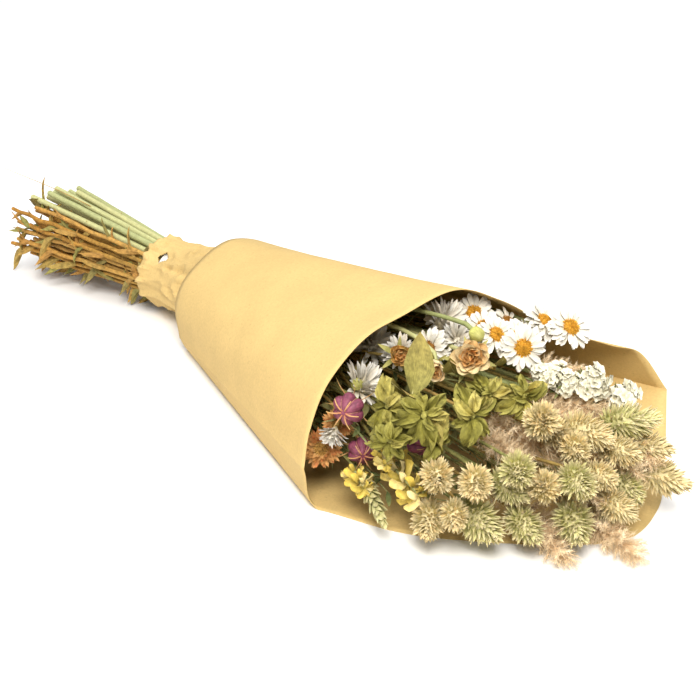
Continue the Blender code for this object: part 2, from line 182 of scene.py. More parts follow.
class BouquetSettings(PropertyGroup):
    paper_thickness: length("Paper thickness", "How thick the paper is, in millimetres", 0.4)
    paper_ripple: length("Paper ripple", "How far the sleeve's wall wanders", 0.9)
    cuff_crumple: length("Cuff crumple", "How deep the cuff's folds are", 4.2)
    glume_count: IntProperty(
        name="Glumes", description="Glumes on one grass head", default=230, min=20, max=600
    )
    glume_length: length("Glume length", "From a glume's foot to its point", 7.2)
    petal_count: IntProperty(
        name="Daisy petals", description="Petals of one daisy", default=38, min=8, max=90
    )
    petal_length: length("Petal length", "From the disc to a petal's tip", 9.0)
    bract_length: length("Bract length", "Length of a curled green bract", 15.0)
    frond_count: IntProperty(
        name="Plume fronds", description="Fronds on one plume", default=170, min=10, max=400
    )
    filler_count: IntProperty(
        name="Fine stems", description="Fine stems among the heads", default=70, min=0, max=300
    )
    paper: colour("Paper", "The kraft paper", (0.60, 0.425, 0.17))
    paper_fleck: colour("Paper flecks", "Fibres in the paper", (0.34, 0.20, 0.07))
    elastic: colour("Tie", "The band round the stems", (0.86, 0.84, 0.78))
    stem_green: colour("Green stem", "Thick pale stems", (0.50, 0.52, 0.24))
    stem_brown: colour("Brown stem", "Thin leafy stems", (0.48, 0.225, 0.035))
    petal_white: colour("White petal", "Daisies and papery tufts", (0.88, 0.86, 0.80))
    disc_yellow: colour("Yellow disc", "The middle of a daisy", (0.80, 0.42, 0.04))
    disc_brown: colour("Brown disc", "The middle of an old daisy", (0.38, 0.17, 0.03))
    rose_flesh: colour("Rose", "Body of a rose petal", (0.94, 0.76, 0.42))
    rose_edge: colour("Rose edge", "Middle of a rose", (0.82, 0.36, 0.10))
    pod_purple: colour("Pod", "Nigella pods", (0.17, 0.035, 0.07))
    pod_gold: colour("Pod ribs", "Ribs and horns of a pod", (0.62, 0.40, 0.14))
    straw_orange: colour("Strawflower", "Its bracts", (0.80, 0.40, 0.13))
    bract_green: colour("Green bract", "Curled green bracts", (0.33, 0.30, 0.055))
    leaf_green: colour("Leaf", "Single leaves", (0.34, 0.31, 0.085))
    glume_tip: colour("Glume tip", "Outer end of a glume", (0.95, 0.81, 0.50))
    glume_foot: colour("Glume foot", "Inner end of a glume", (0.66, 0.57, 0.26))
    grain_green: colour("Wheat", "The wheat ear", (0.52, 0.52, 0.20))
    sprig_yellow: colour("Yellow sprig", "Its curled petals", (0.82, 0.60, 0.10))
    plume_tan: colour("Plume", "Feathery grass", (0.92, 0.73, 0.47))
    statice_white: colour("Statice", "Papery white florets", (0.94, 0.90, 0.74))
    bud_green: colour("Bud", "Seed buds", (0.72, 0.72, 0.20))


# Frame


class Plant:
    """A plant's route and head, read from its solid in the frame."""

    def __init__(self, name, kind):
        self.name = name
        self.kind = kind
        self.number = int(name.rsplit("_", 1)[1])
        rings, full_length = HEAD_RINGS[kind]
        centres, radii = ring_centres(frame["nodes"][name])
        self.stem = centres[: -rings]
        self.stem_radii = radii[: -rings]
        self.foot = self.stem[-1]
        self.axis = (centres[-1] - self.foot).normalized()
        self.size = (centres[-1] - self.foot).length / (full_length * MM)
        self.seed = sum(ord(letter) * (i + 3) for i, letter in enumerate(name))

    def matrix(self, forward=0.0, roll=0.0):
        return head_matrix(self.foot, self.axis, self.size, forward, roll)


def head_matrix(foot, axis, size, forward=0.0, roll=0.0):
    """From a head's own millimetres, growing along +Z with +X upwards, to the frame."""
    up = Vector((0, 0, 1)) - axis * axis.z
    if up.length < 0.05:
        up = Vector((-1, 0, 0)) + axis * axis.x
    up.normalize()
    turn = Matrix((up, axis.cross(up), axis)).transposed().to_4x4()
    turn = Matrix.Translation(foot) @ turn @ Matrix.Rotation(roll, 4, "Z")
    return turn @ Matrix.Scale(size * MM, 4) @ Matrix.Translation((0, 0, forward))


# Plants that fill the gaps between those of the frame: kind, middle of the head (x, y, z),
# where it faces (turn from +X towards +Y, tilt above level) and size.
LOOSE_PLANTS = (
    ("daisy", (234, 2, 80), (-45, 35), 0.8),
    ("daisy", (246, 16, 74), (-20, 35), 0.8),
    ("daisy", (232, 24, 76), (10, 45), 0.8),
    ("tuft", (230, -14, 76), (-30, 40), 0.8),
    ("tuft", (238, 34, 66), (10, 40), 0.8),
    ("tuft", (214, -40, 72), (-40, 40), 0.8),
    ("seed_bud", (212, -70, 62), (-30, 30), 0.8),
    ("bract_head", (258, -66, 60), (-45, 30), 0.8),
    ("bract_head", (262, -96, 56), (-60, 10), 0.7),
    ("bract_head", (274, -38, 66), (-30, 30), 0.75),
    ("bract_head", (270, -72, 50), (-40, 0), 0.7),
    ("leaf", (254, -44, 76), (-60, 35), 0.6),
    ("leaf", (266, -22, 76), (-30, 30), 0.5),
    ("leaf", (250, -78, 74), (-100, 40), 0.5),
    ("canary_grass", (306, -24, 52), (-30, 20), 0.85),
    ("canary_grass", (322, -28, 50), (-35, 10), 0.85),
    ("canary_grass", (332, -4, 44), (-10, 10), 0.9),
    ("canary_grass", (334, 16, 40), (8, 8), 0.9),
    ("canary_grass", (322, -30, 26), (-30, 0), 0.9),
    ("canary_grass", (296, -86, 24), (-45, 0), 0.75),
    ("canary_grass", (330, -14, 14), (-20, 0), 0.85),
    ("statice", (286, 10, 62), (-15, 40), 0.8),
    ("yellow_sprig", (250, -88, 38), (-40, 10), 0.6),
    ("strawflower", (212, -84, 44), (-50, 20), 0.8),
)
STEM_HOME = Vector((60, 18, 34))


class LoosePlant:
    """A plant that has no solid: its stem comes out of the middle of the bunch."""

    def __init__(self, number, kind, middle, faces, size):
        self.name = f"loose_{kind}_{number}"
        self.kind = kind
        self.number = number
        self.size = size
        self.axis = facing(*faces)
        self.foot = (Vector(middle) - self.axis * HEAD_RINGS[kind][1] / 2 * size) * MM + SHIFT
        home = STEM_HOME * MM + SHIFT
        half = home.lerp(self.foot, 0.6)
        near = self.foot - self.axis * 9 * MM
        self.stem = [home, half, near, self.foot]
        self.stem_radii = [1.3 * MM] * 2 + [1.1 * MM] * 2
        self.seed = 900 + number * 37

    def matrix(self, forward=0.0, roll=0.0):
        return head_matrix(self.foot, self.axis, self.size, forward, roll)


def facing(turn, tilt):
    turn, tilt = math.radians(turn), math.radians(tilt)
    level = math.cos(tilt)
    return Vector((math.cos(turn) * level, math.sin(turn) * level, math.sin(tilt)))


def loose_of(kind):
    return [LoosePlant(i, *row) for i, row in enumerate(LOOSE_PLANTS, 20) if row[0] == kind]


def ring_centres(node):
    """Walks a swept solid ring by ring from its cut end, and gives each ring's middle and radius."""
    mesh = bmesh.new()
    mesh.from_mesh(node.data)
    bmesh.ops.remove_doubles(mesh, verts=mesh.verts, dist=1e-6)
    low = min(v.co.x for v in mesh.verts)
    ring = {v for v in mesh.verts if v.co.x < low + 0.005}
    seen, centres, radii = set(), [], []
    while ring:
        seen |= ring
        centre = sum((v.co for v in ring), Vector()) / len(ring)
        centres.append(centre)
        radii.append(max((v.co - centre).length for v in ring))
        ring = {edge.other_vert(v) for v in ring for edge in v.link_edges} - seen
    mesh.free()
    return centres, radii


def plants_of(*kinds):
    return [
        Plant(part["node"], part["material_slot"])
        for part in frame["record"]["subparts"]
        if part["material_slot"] in kinds
    ]


# Mesh


def smooth_curve(points, steps):
    """A Catmull-Rom curve through the points."""
    points = [Vector(p) for p in points]
    ends = [points[0] * 2 - points[1], *points, points[-1] * 2 - points[-2]]
    spans = len(points) - 1
    curve = []
    for i in range(steps + 1):
        place = min(i / steps * spans, spans - 1e-6)
        k, t = int(place), place - int(place)
        a, b, c, d = ends[k : k + 4]
        bend = (2 * a - 5 * b + 4 * c - d) * t**2 + (3 * b - a - 3 * c + d) * t**3
        curve.append(0.5 * (2 * b + (c - a) * t + bend))
    return curve


def ring_faces(rings, sides, capped=True):
    faces = [
        (i * sides + k, i * sides + (k + 1) % sides, (i + 1) * sides + (k + 1) % sides, (i + 1) * sides + k)
        for i in range(rings - 1)
        for k in range(sides)
    ]
    if capped:
        faces.append(tuple(reversed(range(sides))))
        faces.append(tuple(range((rings - 1) * sides, rings * sides)))
    return faces


def blade(
    long, wide, rows, cols, shape, curl=0.0, cup=0.0, twist=0.0, wave=0.0, thick=0.15, fold=0.0
):
    """A petal, leaf or glume as one thin closed shell that grows along +Z and faces -X.

    shape lists (share of the length, share of the half width). curl bends the tip towards +X,
    cup raises the edges towards -X, fold makes the section a V, twist turns the tip and wave
    ruffles the edges.
    """
    across = [-1 + 2 * j / cols for j in range(cols + 1)]
    ring = [(u, 1) for u in across] + [(u, -1) for u in across[-2:0:-1]]
    points, uvs = [], []
    centre = Vector()
    for i in range(rows + 1):
        v = i / rows
        half = wide / 2 * float(np.interp(v, *zip(*shape, strict=True)))
        heading = curl * v
        forward = Vector((math.sin(heading), 0, math.cos(heading)))
        normal = Vector((math.cos(heading), 0, -math.sin(heading)))
        turn = Matrix.Rotation(twist * v, 3, forward)
        if i:
            centre = centre + forward * (long / rows)
        for u, side in ring:
            lift = -half * (cup * u * u + fold * abs(u)) + wave * half * math.sin(v * 9 + u * 2) * abs(u)
            lift += side * thick * 0.5 * (1 - u * u) * (1 - 0.6 * v)
            points.append(centre + turn @ (Vector((0, half * u, 0)) + normal * lift))
            uvs.append((u / 2 + 0.5, v))
    return points, ring_faces(rows + 1, len(ring)), uvs


def tube(path, radii, sides):
    """A closed round rod along a path, with v running along it."""
    points, uvs = [], []
    upright = Vector((0.1, 0.2, 1))
    for i, point in enumerate(path):
        along = (path[min(i + 1, len(path) - 1)] - path[max(i - 1, 0)]).normalized()
        upright = (upright - along * upright.dot(along)).normalized()
        side = along.cross(upright)
        for k in range(sides):
            angle = 2 * math.pi * k / sides
            points.append(point + (side * math.cos(angle) + upright * math.sin(angle)) * radii[i])
            uvs.append((k / sides, i / (len(path) - 1)))
    return points, ring_faces(len(path), sides), uvs


class Build:
    """Gathers one piece's geometry: points, faces, UV, a tone for each point and materials."""

    def __init__(self, name):
        self.name = name
        self.points, self.tones, self.corners, self.uvs = [], [], [], []
        self.sizes, self.slots, self.materials = [], [], []
        self.count = 0

    def material_index(self, material):
        if material not in self.materials:
            self.materials.append(material)
        return self.materials.index(material)

    def add(self, shape, material, tone=0.5, matrix=None):
        """Adds (points, faces, UV for each point)."""
        points, faces, uvs = shape
        points = np.array(points, dtype=np.float64)
        if matrix is not None:
            turn = np.array(matrix)
            points = points @ turn[:3, :3].T + turn[:3, 3]
        corners = [corner for face in faces for corner in face]
        self.take(
            points,
            np.full(len(points), tone),
            np.array(corners),
            np.array(uvs)[corners],
            np.array([len(face) for face in faces]),
            material,
        )

    def take(self, points, tones, corners, uvs, sizes, material):
        self.points.append(points)
        self.tones.append(tones)
        self.corners.append(corners + self.count)
        self.uvs.append(uvs)
        self.sizes.append(sizes)
        self.slots.append(np.full(len(sizes), self.material_index(material)))
        self.count += len(points)

    def add_mesh(self, mesh, material, matrix):
        """Adds what a tree has grown, and removes its mesh."""
        points = np.empty(len(mesh.vertices) * 3)
        mesh.vertices.foreach_get("co", points)
        corners = np.empty(len(mesh.loops), dtype=np.int64)
        mesh.loops.foreach_get("vertex_index", corners)
        uvs = np.empty(len(mesh.loops) * 2)
        mesh.attributes["uv"].data.foreach_get("vector", uvs)
        tones = np.empty(len(mesh.vertices))
        mesh.attributes["tone"].data.foreach_get("value", tones)
        sizes = np.empty(len(mesh.polygons), dtype=np.int64)
        mesh.polygons.foreach_get("loop_total", sizes)
        turn = np.array(matrix)
        points = points.reshape(-1, 3) @ turn[:3, :3].T + turn[:3, 3]
        self.take(points, tones, corners, uvs.reshape(-1, 2), sizes, material)
        bpy.data.meshes.remove(mesh)

    def mesh(self):
        mesh = bpy.data.meshes.new(self.name)
        points, corners = np.concatenate(self.points), np.concatenate(self.corners)
        low = points[:, 2] < PRESSED
        points[low, 2] = PRESSED * np.exp(points[low, 2] / PRESSED - 1)
        sizes = np.concatenate(self.sizes)
        mesh.vertices.add(len(points))
        mesh.vertices.foreach_set("co", points.ravel())
        mesh.loops.add(len(corners))
        mesh.loops.foreach_set("vertex_index", corners)
        mesh.polygons.add(len(sizes))
        mesh.polygons.foreach_set("loop_start", np.concatenate([[0], np.cumsum(sizes)[:-1]]))
        mesh.polygons.foreach_set("material_index", np.concatenate(self.slots))
        mesh.update(calc_edges=True)
        mesh.uv_layers.new(name="uv").data.foreach_set("uv", np.concatenate(self.uvs).ravel())
        tone = mesh.attributes.new("tone", "FLOAT", "POINT")
        tone.data.foreach_set("value", np.concatenate(self.tones))
        for material in self.materials:
            mesh.materials.append(material)
        mesh.shade_smooth()
        mesh.set_sharp_from_angle(angle=math.radians(55))
        mesh.validate()
        return mesh

    def finish(self, slot, *nodes):
        """Makes the object, hangs it on the root body and hides the solids that it stands for."""
        obj = bpy.data.objects.new(self.name, self.mesh())
        bpy.context.scene.collection.objects.link(obj)
        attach(obj, "root")
        if nodes:
            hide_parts(*nodes)
        return obj


# Geometry Nodes


def node_in(tree, kind, inputs=None, **settings):
    """Adds a node. An input that is a socket is linked, and any other is set."""
    node = tree.nodes.new(kind)
    for key, value in settings.items():
        setattr(node, key, value)
    for key, value in (inputs or {}).items():
        if isinstance(value, bpy.types.NodeSocket):
            tree.links.new(value, node.inputs[key])
        else:
            node.inputs[key].default_value = value
    return node


def sum_of(tree, operation, first, second):
    return node_in(tree, "ShaderNodeMath", {0: first, 1: second}, operation=operation).outputs[0]


def between(tree, share, first, second):
    return node_in(tree, "ShaderNodeMix", {0: share, 2: first, 3: second}).outputs[0]


def random_in(tree, low, high, seed):
    node = node_in(tree, "FunctionNodeRandomValue", {2: low, 3: high, 8: seed}, data_type="FLOAT")
    return node.outputs[1]


SPIRAL_INPUTS = (
    ("Piece", "NodeSocketObject", None),
    ("Material", "NodeSocketMaterial", None),
    ("Count", "NodeSocketInt", 50),
    ("Length", "NodeSocketFloat", 10.0),
    ("Foot Radius", "NodeSocketFloat", 1.0),
    ("Middle Radius", "NodeSocketFloat", 1.0),
    ("Tip Radius", "NodeSocketFloat", 1.0),
    ("Foot Lean", "NodeSocketFloat", 1.0),
    ("Tip Lean", "NodeSocketFloat", 0.2),
    ("Foot Size", "NodeSocketFloat", 1.0),
    ("Tip Size", "NodeSocketFloat", 1.0),
    ("Disorder", "NodeSocketFloat", 0.1),
    ("Seed", "NodeSocketInt", 1),
)
ALONG_INPUTS = (
    ("Path", "NodeSocketObject", None),
    ("Piece", "NodeSocketObject", None),
    ("Material", "NodeSocketMaterial", None),
    ("Count", "NodeSocketInt", 10),
    ("Start", "NodeSocketFloat", 0.2),
    ("Lean", "NodeSocketFloat", 0.7),
    ("Size", "NodeSocketFloat", 1.0),
    ("Disorder", "NodeSocketFloat", 0.3),
    ("Seed", "NodeSocketInt", 1),
)


def new_tree(name, inputs):
    tree = bpy.data.node_groups.new(name, "GeometryNodeTree")
    for label, kind, default in inputs:
        socket = tree.interface.new_socket(label, in_out="INPUT", socket_type=kind)
        if default is not None:
            socket.default_value = default
    tree.interface.new_socket("Geometry", in_out="OUTPUT", socket_type="NodeSocketGeometry")
    return tree, tree.nodes.new("NodeGroupInput").outputs


def end_tree(tree, instances, given):
    """Gives each piece its own tone, makes the instances real and sets their material."""
    tone = random_in(tree, 0.0, 1.0, given["Seed"])
    stored = node_in(
        tree,
        "GeometryNodeStoreNamedAttribute",
        {"Geometry": instances, "Name": "tone", "Value": tone},
        data_type="FLOAT",
        domain="INSTANCE",
    )
    real = node_in(tree, "GeometryNodeRealizeInstances", {0: stored.outputs[0]})
    painted = node_in(
        tree, "GeometryNodeSetMaterial", {"Geometry": real.outputs[0], "Material": given["Material"]}
    )
    node_in(tree, "NodeGroupOutput", {0: painted.outputs[0]})


def spiral_tree():
    """Pieces in a golden-angle spiral up a head, from its foot to its tip."""
    tree, given = new_tree("Spiral Head", SPIRAL_INPUTS)
    line = node_in(tree, "GeometryNodeMeshLine", {"Count": given["Count"], "Offset": (0, 0, 0)})
    index = tree.nodes.new("GeometryNodeInputIndex").outputs[0]
    share = sum_of(tree, "DIVIDE", index, given["Count"])
    low = between(tree, share, given["Foot Radius"], given["Middle Radius"])
    high = between(tree, share, given["Middle Radius"], given["Tip Radius"])
    radius = between(tree, share, low, high)
    stray = sum_of(tree, "MULTIPLY", random_in(tree, -1.0, 1.0, 11), given["Disorder"])
    angle = sum_of(tree, "ADD", sum_of(tree, "MULTIPLY", index, GOLDEN_ANGLE), stray)
    x = sum_of(tree, "MULTIPLY", radius, sum_of(tree, "COSINE", angle, 0.0))
    y = sum_of(tree, "MULTIPLY", radius, sum_of(tree, "SINE", angle, 0.0))
    z = sum_of(tree, "MULTIPLY", share, given["Length"])
    place = node_in(tree, "ShaderNodeCombineXYZ", {0: x, 1: y, 2: z}).outputs[0]
    points = node_in(tree, "GeometryNodeSetPosition", {"Geometry": line.outputs[0], "Position": place})
    lean = between(tree, share, given["Foot Lean"], given["Tip Lean"])
    seeds = [sum_of(tree, "ADD", given["Seed"], step) for step in (101, 202, 303)]
    strays = [
        sum_of(tree, "MULTIPLY", random_in(tree, -1.0, 1.0, seed), given["Disorder"]) for seed in seeds
    ]
    turn = node_in(
        tree,
        "ShaderNodeCombineXYZ",
        {0: strays[0], 1: sum_of(tree, "ADD", lean, strays[1]), 2: angle},
    )
    size = between(tree, share, given["Foot Size"], given["Tip Size"])
    size = sum_of(tree, "MULTIPLY", size, sum_of(tree, "ADD", strays[2], 1.0))
    piece = node_in(tree, "GeometryNodeObjectInfo", {"Object": given["Piece"]})
    placed = node_in(
        tree,
        "GeometryNodeInstanceOnPoints",
        {
            "Points": points.outputs[0],
            "Instance": piece.outputs["Geometry"],
            "Rotation": turn.outputs[0],
            "Scale": node_in(tree, "ShaderNodeCombineXYZ", {0: size, 1: size, 2: size}).outputs[0],
        },
    )
    end_tree(tree, placed.outputs[0], given)
    return tree


def along_tree():
    """Pieces along a path, each turned round it by the golden angle and leaning away from it."""
    tree, given = new_tree("Along A Path", ALONG_INPUTS)
    path = node_in(tree, "GeometryNodeObjectInfo", {"Object": given["Path"]}).outputs["Geometry"]
    trimmed = node_in(tree, "GeometryNodeTrimCurve", {"Curve": path, 2: given["Start"]}, mode="FACTOR")
    points = node_in(
        tree, "GeometryNodeCurveToPoints", {"Curve": trimmed.outputs[0], "Count": given["Count"]}
    )
    piece = node_in(tree, "GeometryNodeObjectInfo", {"Object": given["Piece"]})
    stray = sum_of(tree, "MULTIPLY", random_in(tree, -1.0, 1.0, given["Seed"]), given["Disorder"])
    size = sum_of(tree, "MULTIPLY", given["Size"], sum_of(tree, "ADD", stray, 1.0))
    placed = node_in(
        tree,
        "GeometryNodeInstanceOnPoints",
        {
            "Points": points.outputs["Points"],
            "Instance": piece.outputs["Geometry"],
            "Rotation": points.outputs["Rotation"],
            "Scale": node_in(tree, "ShaderNodeCombineXYZ", {0: size, 1: size, 2: size}).outputs[0],
        },
    )
    index = tree.nodes.new("GeometryNodeInputIndex").outputs[0]
    angle = sum_of(tree, "ADD", sum_of(tree, "MULTIPLY", index, GOLDEN_ANGLE), given["Seed"])
    spin = node_in(tree, "ShaderNodeCombineXYZ", {2: angle}).outputs[0]
    spun = node_in(
        tree, "GeometryNodeRotateInstances", {"Instances": placed.outputs[0], "Rotation": spin}
    )
    lean = sum_of(tree, "ADD", given["Lean"], stray)
    tilt = node_in(tree, "ShaderNodeCombineXYZ", {1: lean}).outputs[0]
    tilted = node_in(
        tree, "GeometryNodeRotateInstances", {"Instances": spun.outputs[0], "Rotation": tilt}
    )
    end_tree(tree, tilted.outputs[0], given)
    return tree


TREES = {}


def grown(tree_name, **values):
    """Runs a tree on its own and gives the finished mesh."""
    if not TREES:
        TREES["spiral"] = spiral_tree()
        TREES["along"] = along_tree()
    tree = TREES[tree_name]
    holder = bpy.data.objects.new("holder", bpy.data.meshes.new("holder"))
    bpy.context.scene.collection.objects.link(holder)
    modifier = holder.modifiers.new("Grow", "NODES")
    modifier.node_group = tree
    for item in tree.interface.items_tree:
        key = item.name.lower().replace(" ", "_")
        if item.in_out == "INPUT" and key in values:
            modifier[item.identifier] = values.pop(key)
    if values:
        raise ValueError(f"the tree {tree.name} has no inputs named {sorted(values)}")
    graph = bpy.context.evaluated_depsgraph_get()
    mesh = bpy.data.meshes.new_from_object(
        holder.evaluated_get(graph), preserve_all_data_layers=True, depsgraph=graph
    )
    empty = holder.data
    bpy.data.objects.remove(holder)
    bpy.data.meshes.remove(empty)
    return mesh


PIECES = {}


def piece_object(name, shape):
    """An object that a tree repeats. It is made once, and cleared away at the end."""
    if name not in PIECES:
        points, faces, uvs = shape
        mesh = bpy.data.meshes.new(name)
        mesh.from_pydata([tuple(p) for p in points], [], faces)
        layer = mesh.uv_layers.new(name="uv")
        for loop in mesh.loops:
            layer.data[loop.index].uv = uvs[loop.vertex_index]
        PIECES[name] = bpy.data.objects.new(name, mesh)
        bpy.context.scene.collection.objects.link(PIECES[name])
        PIECES[name].hide_render = True
    return PIECES[name]


def joined(*shapes):
    points, faces, uvs = [], [], []
    for more_points, more_faces, more_uvs in shapes:
        faces += [tuple(corner + len(points) for corner in face) for face in more_faces]
        points += more_points
        uvs += more_uvs
    return points, faces, uvs


def turned(shape, matrix):
    points, faces, uvs = shape
    return [matrix @ Vector(p) for p in points], faces, uvs


def clear_pieces():
    for obj in PIECES.values():
        mesh = obj.data
        bpy.data.objects.remove(obj)
        bpy.data.meshes.remove(mesh)
    PIECES.clear()


# Materials


def shader_of(name, rough):
    material = bpy.data.materials.new(name)
    material.use_nodes = True
    tree = material.node_tree
    shader = tree.nodes["Principled BSDF"]
    shader.inputs["Roughness"].default_value = rough
    shader.inputs["Specular IOR Level"].default_value = 0.25
    return material, tree, shader


def noise_on(tree, coordinates, scale, detail=3.0, stretch=None):
    if stretch:
        mapping = node_in(tree, "ShaderNodeMapping", {"Vector": coordinates, "Scale": stretch})
        coordinates = mapping.outputs[0]
    node = node_in(
        tree, "ShaderNodeTexNoise", {"Vector": coordinates, "Scale": scale, "Detail": detail}
    )
    return node.outputs[0]


def ranged(tree, value, low, high, to_low, to_high):
    node = node_in(
        tree,
        "ShaderNodeMapRange",
        {"Value": value, "From Min": low, "From Max": high, "To Min": to_low, "To Max": to_high},
    )
    return node.outputs[0]


def mixed(tree, share, first, second, blend="MIX"):
    node = node_in(
        tree,
        "ShaderNodeMix",
        {"Factor": share, 6: first, 7: second},
        data_type="RGBA",
        blend_type=blend,
    )
    return node.outputs[2]


MATERIALS = {}


def botanical(name, foot, tip, odd=None, mottle=0.25, veins=0.0, rough=0.75, relief=0.3):
    """Dry plant matter: one colour at the foot and one at the tip, pieces that differ, mottling
    and veins along the piece."""
    if name in MATERIALS:
        return MATERIALS[name]
    material, tree, shader = shader_of(name, rough)
    across = node_in(tree, "ShaderNodeUVMap", uv_map="uv").outputs[0]
    along = node_in(tree, "ShaderNodeSeparateXYZ", {0: across}).outputs[1]
    tone = node_in(tree, "ShaderNodeAttribute", attribute_name="tone").outputs["Fac"]
    place = tree.nodes.new("ShaderNodeTexCoord").outputs["Object"]
    body = mixed(tree, along, (*foot, 1), (*tip, 1))
    if odd:
        body = mixed(tree, ranged(tree, tone, 0.45, 1.0, 0.0, 0.8), body, (*odd, 1))
    spots = noise_on(tree, place, 420.0, 4.0)
    value = ranged(tree, spots, 0.3, 0.7, 1 - mottle, 1 + mottle * 0.6)
    value = sum_of(tree, "MULTIPLY", value, ranged(tree, tone, 0.0, 1.0, 0.82, 1.12))
    height = noise_on(tree, place, 1600.0, 3.0)
    if veins:
        lines = noise_on(tree, across, 9.0, 2.0, (veins, 0.6, 1.0))
        value = sum_of(tree, "MULTIPLY", value, ranged(tree, lines, 0.35, 0.65, 0.78, 1.1))
        height = sum_of(tree, "ADD", height, lines)
    grey = node_in(tree, "ShaderNodeCombineXYZ", {0: value, 1: value, 2: value}).outputs[0]
    tree.links.new(mixed(tree, 1.0, body, grey, "MULTIPLY"), shader.inputs["Base Color"])
    bump = node_in(tree, "ShaderNodeBump", {"Height": height, "Distance": 0.0004})
    bump.inputs["Strength"].default_value = relief
    tree.links.new(bump.outputs[0], shader.inputs["Normal"])
    MATERIALS[name] = material
    return material


def kraft(settings):
    """Brown kraft paper: cloudy pulp, fine dark fibres and a slight tooth."""
    if "kraft_paper" in MATERIALS:
        return MATERIALS["kraft_paper"]
    material, tree, shader = shader_of("kraft_paper", 0.82)
    place = tree.nodes.new("ShaderNodeTexCoord").outputs["Object"]
    clouds = ranged(tree, noise_on(tree, place, 35.0, 5.0), 0.3, 0.7, 0.94, 1.05)
    pulp = ranged(tree, noise_on(tree, place, 700.0, 4.0), 0.3, 0.7, 0.93, 1.05)
    value = sum_of(tree, "MULTIPLY", clouds, pulp)
    flecks = noise_on(tree, place, 1300.0, 2.0, (0.35, 1.0, 1.0))
    flecked = ranged(tree, flecks, 0.66, 0.74, 0.0, 0.55)
    body = mixed(tree, flecked, (*settings.paper, 1), (*settings.paper_fleck, 1))
    grey = node_in(tree, "ShaderNodeCombineXYZ", {0: value, 1: value, 2: value}).outputs[0]
    tree.links.new(mixed(tree, 1.0, body, grey, "MULTIPLY"), shader.inputs["Base Color"])
    tooth = noise_on(tree, place, 1800.0, 3.0)
    soft = noise_on(tree, place, 45.0, 3.0)
    height = sum_of(tree, "ADD", sum_of(tree, "MULTIPLY", tooth, 0.25), sum_of(tree, "MULTIPLY", soft, 3.0))
    bump = node_in(tree, "ShaderNodeBump", {"Height": height, "Distance": 0.0003})
    bump.inputs["Strength"].default_value = 0.35
    tree.links.new(bump.outputs[0], shader.inputs["Normal"])
    MATERIALS["kraft_paper"] = material
    return material


# Stems

STEM_SIDES = 7
STEM_STEP = 7.0
GREEN_STEMS = 16


def green_names():
    """The names of the plants whose stems lie highest at the tail: the thick green ones."""
    ranked = sorted(all_plants(), key=lambda p: -(p.stem[0].z + 0.55 * p.stem[0].y))
    return {plant.name for plant in ranked[:GREEN_STEMS]}


def is_green(plant):
    if "names" not in GREEN:
        GREEN["names"] = green_names()
    return plant.name in GREEN["names"]


GREEN = {}


def stem_material(settings, green):
    if green:
        pale = tuple(settings.stem_green)
        return botanical("pale_stem", pale, (0.34, 0.37, 0.14), (0.60, 0.54, 0.27), 0.15, 6.0)
    brown = tuple(settings.stem_brown)
    return botanical("brown_stem", brown, (0.30, 0.31, 0.10), (0.52, 0.31, 0.09), 0.35, 6.0)


def grow_stem(build, plant, settings, share=None):
    """A rod along the plant's route, thick and straight if green, thin and knotty if brown."""
    green = is_green(plant)
    total = sum((b - a).length for a, b in zip(plant.stem, plant.stem[1:], strict=False)) / MM
    steps = max(12, int(total / STEM_STEP))
    path = resampled(plant.stem, steps)
    widths = resampled([Vector((r, 0, 0)) for r in plant.stem_radii], steps)
    radii = []
    for i, point in enumerate(path):
        wobble = Vector(noise.noise_vector(point * 60 + Vector((plant.seed, 0, 0))))
        at_tail = max(0.0, 1 - i / steps * 4)
        path[i] = point + wobble * MM * (0.25 if green else 0.25 + 2.2 * at_tail)
        knot = 1.0 + (0.0 if green else 0.3 * abs(noise.noise(point * 120)))
        radii.append(widths[i].x * knot * (1.1 if green else 0.7))
    tone = (plant.seed * 0.618) % 1.0
    build.add(tube(path, radii, STEM_SIDES), share or stem_material(settings, green), tone)


def resampled(points, steps):
    """Points evenly spaced along a smooth curve through the given ones."""
    fine = smooth_curve(points, steps * 4)
    gaps = [0.0]
    for a, b in zip(fine, fine[1:], strict=False):
        gaps.append(gaps[-1] + (b - a).length + 1e-12)
    places = np.linspace(0, gaps[-1], steps + 1)
    axes = [np.interp(places, gaps, [p[i] for p in fine]) for i in range(3)]
    return [Vector(p) for p in zip(*axes, strict=True)]


def round_core(build, matrix, long, radii, material, sides=8):
    """The solid middle of a head, under its scales."""
    steps = 7
    foot, middle, tip = radii
    path = [Vector((0, 0, long * i / steps)) for i in range(steps + 1)]
    widths = []
    for i in range(steps + 1):
        t = i / steps
        widths.append((1 - t) ** 2 * foot + 2 * t * (1 - t) * middle + t * t * tip)
    build.add(tube(path, widths, sides), material, 0.3, matrix)


class FlowerOperator:
    """Shared by the operators that each make one kind of plant."""

    bl_options = {"REGISTER", "UNDO"}
    kind = ""
    ending = "flower"

    def execute(self, context):
        settings = context.scene.bouquet
        for plant in plants_of(self.kind):
            build = Build(f"{plant.name}_{self.ending}")
            grow_stem(build, plant, settings)
            self.dress(build, plant, settings)
            build.finish(plant.kind, plant.name)
        for plant in loose_of(self.kind):
            build = Build(f"{plant.name}_{self.ending}")
            grow_stem(build, plant, settings)
            self.dress(build, plant, settings)
            build.finish(plant.kind)
        return {"FINISHED"}


def spiral(build, plant, piece, material, forward=0.0, matrix=None, **values):
    """Grows a spiral of pieces on a plant's head, or where the matrix says."""
    angles = {key: math.radians(values.pop(key)) for key in ("foot_lean", "tip_lean")}
    mesh = grown("spiral", piece=piece, material=material, seed=plant.seed, **angles, **values)
    build.add_mesh(mesh, material, matrix or plant.matrix(forward, plant.seed * 0.7))


